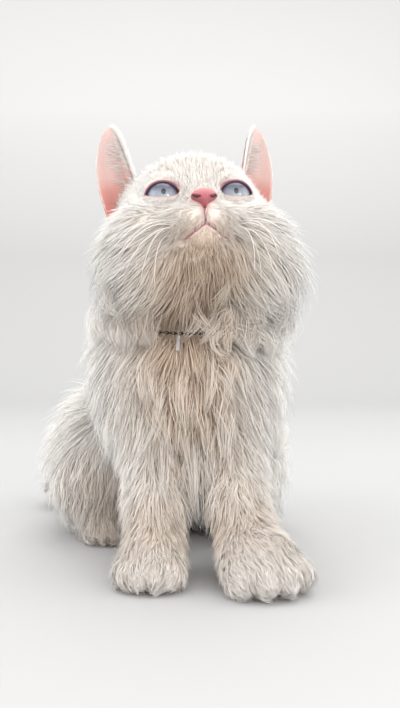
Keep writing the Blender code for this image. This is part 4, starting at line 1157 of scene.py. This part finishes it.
# Hair of each ear: where it is rooted across and up the sheet, how many, its length and how far it stands off
# the sheet (behind it where below zero), which way it leans across the ear, and how wide a hair is
EAR_HAIR = {
    "back": ((-0.97, 0.80), (-0.16, 0.90), 3600, 0.009, -0.0012, 0.0, 0.0006),
    "outer_rim": ((0.96, 1.0), (0.0, 0.95), 380, 0.0034, 0.0003, 0.05, 0.00034),
    "inner_rim": ((-1.0, -0.93), (-0.05, 0.90), 900, 0.012, 0.0012, -0.75, 0.00034),
    "inner_side": ((-1.0, -0.85), (-0.05, 0.75), 130, 0.013, 0.0022, 0.65, 0.00030),
    "inside": ((-0.9, -0.3), (-0.05, 0.70), 90, 0.026, 0.0040, 1.10, 0.00028),
    "base": ((-0.95, 0.2), (-0.12, 0.03), 300, 0.012, 0.0050, 0.30, 0.0004),
}


def ear_hair(side, label, rng):
    """White hair on the ear's back and rims, and long hairs across its inside."""
    made = []
    front = HEAD.to_3x3() @ Vector((0, -1, 0))
    for kind, ((low, high), (bottom, top), count, length, stand, outward, width) in EAR_HAIR.items():
        paths = np.zeros((count, GUIDE_STEPS, 3))
        normals = np.zeros((count, 3))
        uvs = np.zeros((count, 2))
        for i in range(count):
            across, up = rng.uniform(low, high), bottom + (top - bottom) * rng.random() ** 0.9
            here = ear_point(across, up, side)
            rising = (ear_point(across, min(up + 0.03, 0.99), side) - ear_point(across, up - 0.03, side)).normalized()
            sideways = ear_point(min(across + 0.05, 1), up, side) - ear_point(max(across - 0.05, -1), up, side)
            sideways.normalize()
            out = sideways.cross(rising).normalized()
            if (out.dot(front) < 0) == (stand > 0):
                out = -out
            heading = (rising + sideways * (outward + rng.normal(0, 0.25))).normalized()
            reach = length * rng.uniform(0.6, 1.15) * (1 - 0.75 * max(up, 0) ** 2)
            sag = rng.normal(0, 0.05)
            for k in range(GUIDE_STEPS):
                t = k / (GUIDE_STEPS - 1)
                lift = abs(stand) * math.sin(math.pi * min(t * 0.75 + 0.05, 1)) + 0.0003
                paths[i, k] = here + (heading * t + sideways * sag * t * t) * reach + out * lift
            normals[i] = (front + sideways * across).normalized() if "rim" in kind else out
            uvs[i] = (0.5 + 0.48 * across, 0.08 + 0.85 * max(up, 0))
        widths = width * rng.uniform(0.7, 1.2, count)
        made.append(tuft_mesh(f"coat_ear_{label}_{kind}", paths[:, ::2], normals, widths, uvs, np.zeros(count), rng))
    return made


def make_whiskers(side, label, rng):
    """Long tapered whiskers that leave the muzzle outwards and droop."""
    paths, normals = [], []
    for root, tip in zip(WHISKER_ROOTS, WHISKER_TIPS[label]):
        start = HEAD @ Vector((side * root[0], root[1] + 0.0015, root[2]))
        end = Vector(tip)
        reach = (end - start).length
        bend = start + (HEAD.to_3x3() @ Vector((side * 0.80, -0.50, 0.10))) * reach * 0.55
        t = np.linspace(0, 1, 12)[:, None]
        paths.append((1 - t) ** 2 * np.array(start) + 2 * t * (1 - t) * np.array(bend) + t**2 * np.array(end))
        normals.append(HEAD.to_3x3() @ Vector((0, -0.7, 0.7)))
    count = len(paths)
    uvs = np.stack([np.linspace(0.1, 0.9, count), np.full(count, 0.5)], axis=1)
    widths = np.full(count, 0.00062)
    return tuft_mesh("whiskers_" + label, np.array(paths), np.array(normals), widths, uvs, np.full(count, 0.25), rng)


# The collar

def on_collar(bearing):
    """The point of the neck's coat at this bearing round the collar, from its front towards +X."""
    turned = Matrix.Rotation(math.radians(COLLAR_SLOPE), 3, "X")
    ray = turned @ Vector((math.sin(math.radians(bearing)), -math.cos(math.radians(bearing)), 0))
    reach = np.linspace(0.015, 0.09, 300)
    places = np.array(COLLAR_CENTRE) + reach[:, None] * np.array(ray)
    first = int(np.argmax(height(places, CAT_FORMS, 0.5) > 0))
    return COLLAR_CENTRE + ray * reach[first]


def collar_line(steps=32):
    line = [on_collar(360 * i / steps) for i in range(steps)]
    for _ in range(4):
        line = [(line[i - 1] + 2 * line[i] + line[(i + 1) % steps]) / 4 for i in range(steps)]
    return line


def make_chain(line):
    """Oval links threaded through each other all the way round the collar."""
    count = 104
    dense = []
    for i in range(len(line)):
        for k in range(8):
            dense.append(line[i].lerp(line[(i + 1) % len(line)], k / 8))
    shape = bmesh.new()
    for i in range(count):
        at = i / count * len(dense)
        here = dense[int(at) % len(dense)]
        along = (dense[(int(at) + 3) % len(dense)] - dense[int(at) - 3]).normalized()
        out = (here - COLLAR_CENTRE).normalized()
        out = (out - along * out.dot(along)).normalized()
        side = along.cross(out)
        if i % 2:
            out, side = side, out
        rings = []
        for s in range(14):
            a = 2 * math.pi * s / 14
            middle = here + along * 0.00165 * math.cos(a) + side * 0.00095 * math.sin(a)
            radial = (along * math.cos(a) + side * math.sin(a)).normalized()
            rings.append([shape.verts.new(middle + 0.00034 * (math.cos(b) * radial + math.sin(b) * out))
                          for b in (2 * math.pi * k / 6 for k in range(6))])
        for s in range(14):
            low, high = rings[s], rings[(s + 1) % 14]
            for k in range(6):
                shape.faces.new((low[k], low[(k + 1) % 6], high[(k + 1) % 6], high[k]))
    bmesh.ops.recalc_face_normals(shape, faces=shape.faces)
    return from_bmesh("collar_chain", shape)


# Surroundings

def make_stage():
    """A pale floor that sweeps up into a backdrop far behind."""
    shape = bmesh.new()
    profile = [(-6.0, 0.0), (1.3, 0.0)]
    for i in range(1, 16):
        angle = math.radians(6 * i)
        profile.append((1.3 + 0.9 * math.sin(angle), 0.9 - 0.9 * math.cos(angle)))
    profile.append((2.2, 6.0))
    rows = [[shape.verts.new((x, y, z)) for x in (-6.0, 6.0)] for y, z in profile]
    for low, high in zip(rows, rows[1:]):
        shape.faces.new((low[0], low[1], high[1], high[0]))
    floor = from_bmesh("floor", shape)
    made = Nodes("pale_floor", 0.7)
    place = made.add("SeparateXYZ")
    made.link(made.add("TexCoord").outputs["Object"], place.inputs["Vector"])
    # Darker on the floor and lighter up the backdrop: painted light, brightening the backdrop's upper part against
    # the floor
    back = made.ramp(place.outputs["Z"], (0.0, (0.49, 0.49, 0.493)), (0.45, (0.48, 0.48, 0.48)),
                     (1.0, (0.68, 0.68, 0.68)))
    soft = made.ramp(made.noise(3).outputs["Fac"], (0.3, (0.96, 0.96, 0.96)), (0.7, (1.0, 1.0, 1.0)))
    made.colour(made.mix(1.0, back, soft, "MULTIPLY"))
    floor.data.materials.append(made.material)


def make_light(name, place, aim, energy, size):
    light = bpy.data.lights.new(name, "AREA")
    light.energy = energy
    light.size = size
    obj = bpy.data.objects.new(name, light)
    bpy.context.scene.collection.objects.link(obj)
    obj.location = place
    obj.rotation_euler = (Vector(aim) - Vector(place)).to_track_quat("-Z", "Y").to_euler()
    return light


def make_camera():
    camera = bpy.data.cameras.new("camera")
    obj = bpy.data.objects.new("camera", camera)
    bpy.context.scene.collection.objects.link(obj)
    camera.sensor_fit = "VERTICAL"
    camera.sensor_height = 24.0
    camera.lens = 24.0 * FOCAL / FRAME_HEIGHT
    obj.location = Vector((0.0, -0.600, 0.160)) - FOOTPRINT_CENTRE
    obj.rotation_euler = (math.radians(90) - math.atan((FRAME_HEIGHT / 2 - HORIZON) / FOCAL), 0, 0)
    bpy.context.scene.camera = obj


def make_lights():
    world = bpy.data.worlds.new("studio")
    bpy.context.scene.world = world
    world.use_nodes = True
    world.node_tree.nodes["Background"].inputs["Color"].default_value = (1.0, 0.99, 0.975, 1)
    world.node_tree.nodes["Background"].inputs["Strength"].default_value = 1.30
    make_light("overhead", (0.1, 0.5, 1.9), (0, 0, 0.1), 17, 1.6)
    make_light("left", (-1.5, -0.5, 0.8), (0, 0, 0.15), 11, 1.3)
    make_light("right", (1.5, 0.0, 0.9), (0, 0, 0.15), 7, 1.3)
    make_light("glint", (0.80, -1.00, 0.50), (0, 0, 0.26), 1.6, 0.09)
    make_light("front", (0.5, -1.6, 0.9), (0, 0, 0.15), 9, 1.2)
    bpy.context.scene.view_settings.view_transform = "Standard"


def dressed(obj, finish, slot, *nodes):
    """Moves a piece to the row's frame, gives it its material and hands it to the frame."""
    obj.data.transform(TO_ROW)
    obj.data.materials.clear()
    obj.data.materials.append(finish)
    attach(obj, "root")
    if nodes:
        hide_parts(*nodes)


FLESHY = ("head", "neck", "chest", "torso", "tail", "foreleg", "forepaw", "hindleg", "hindpaw")


def main():
    make_camera()
    make_stage()
    make_lights()
    rng = np.random.default_rng(SEED + 1)
    skin = make_skin()
    white = coat_material()
    coat = make_coat(skin)
    pink = skin_material()
    dressed(skin, pink, "white_coat", *[n for n in frame["nodes"] if n.split("_")[0] in FLESHY])
    glass, ear_skin = eye_material(), ear_material()
    for label, side in SIDES:
        coat += ear_hair(side, label, rng)
        coat.append(make_whiskers(side, label, rng))
        dressed(make_eye(side, label), glass, "blue_eye", "eye_" + label)
        dressed(make_ear(side, label), ear_skin, "ear_skin", "ear_" + label)
        dressed(make_rims(side, label), pink, "nose_skin")
    for piece in coat:
        dressed(piece, white, "white_coat")
    dressed(make_nose(), nose_material(), "nose_skin", "nose")
    dressed(make_chain(collar_line()), plain_material("dark_cord", (0.05, 0.045, 0.045), 0.4, 0.8),
            "dark_cord", "collar")
    frame["nodes"]["tag"].material_slots[0].material = plain_material("pale_tag", (0.82, 0.80, 0.77), 0.3, 0.7)


main()
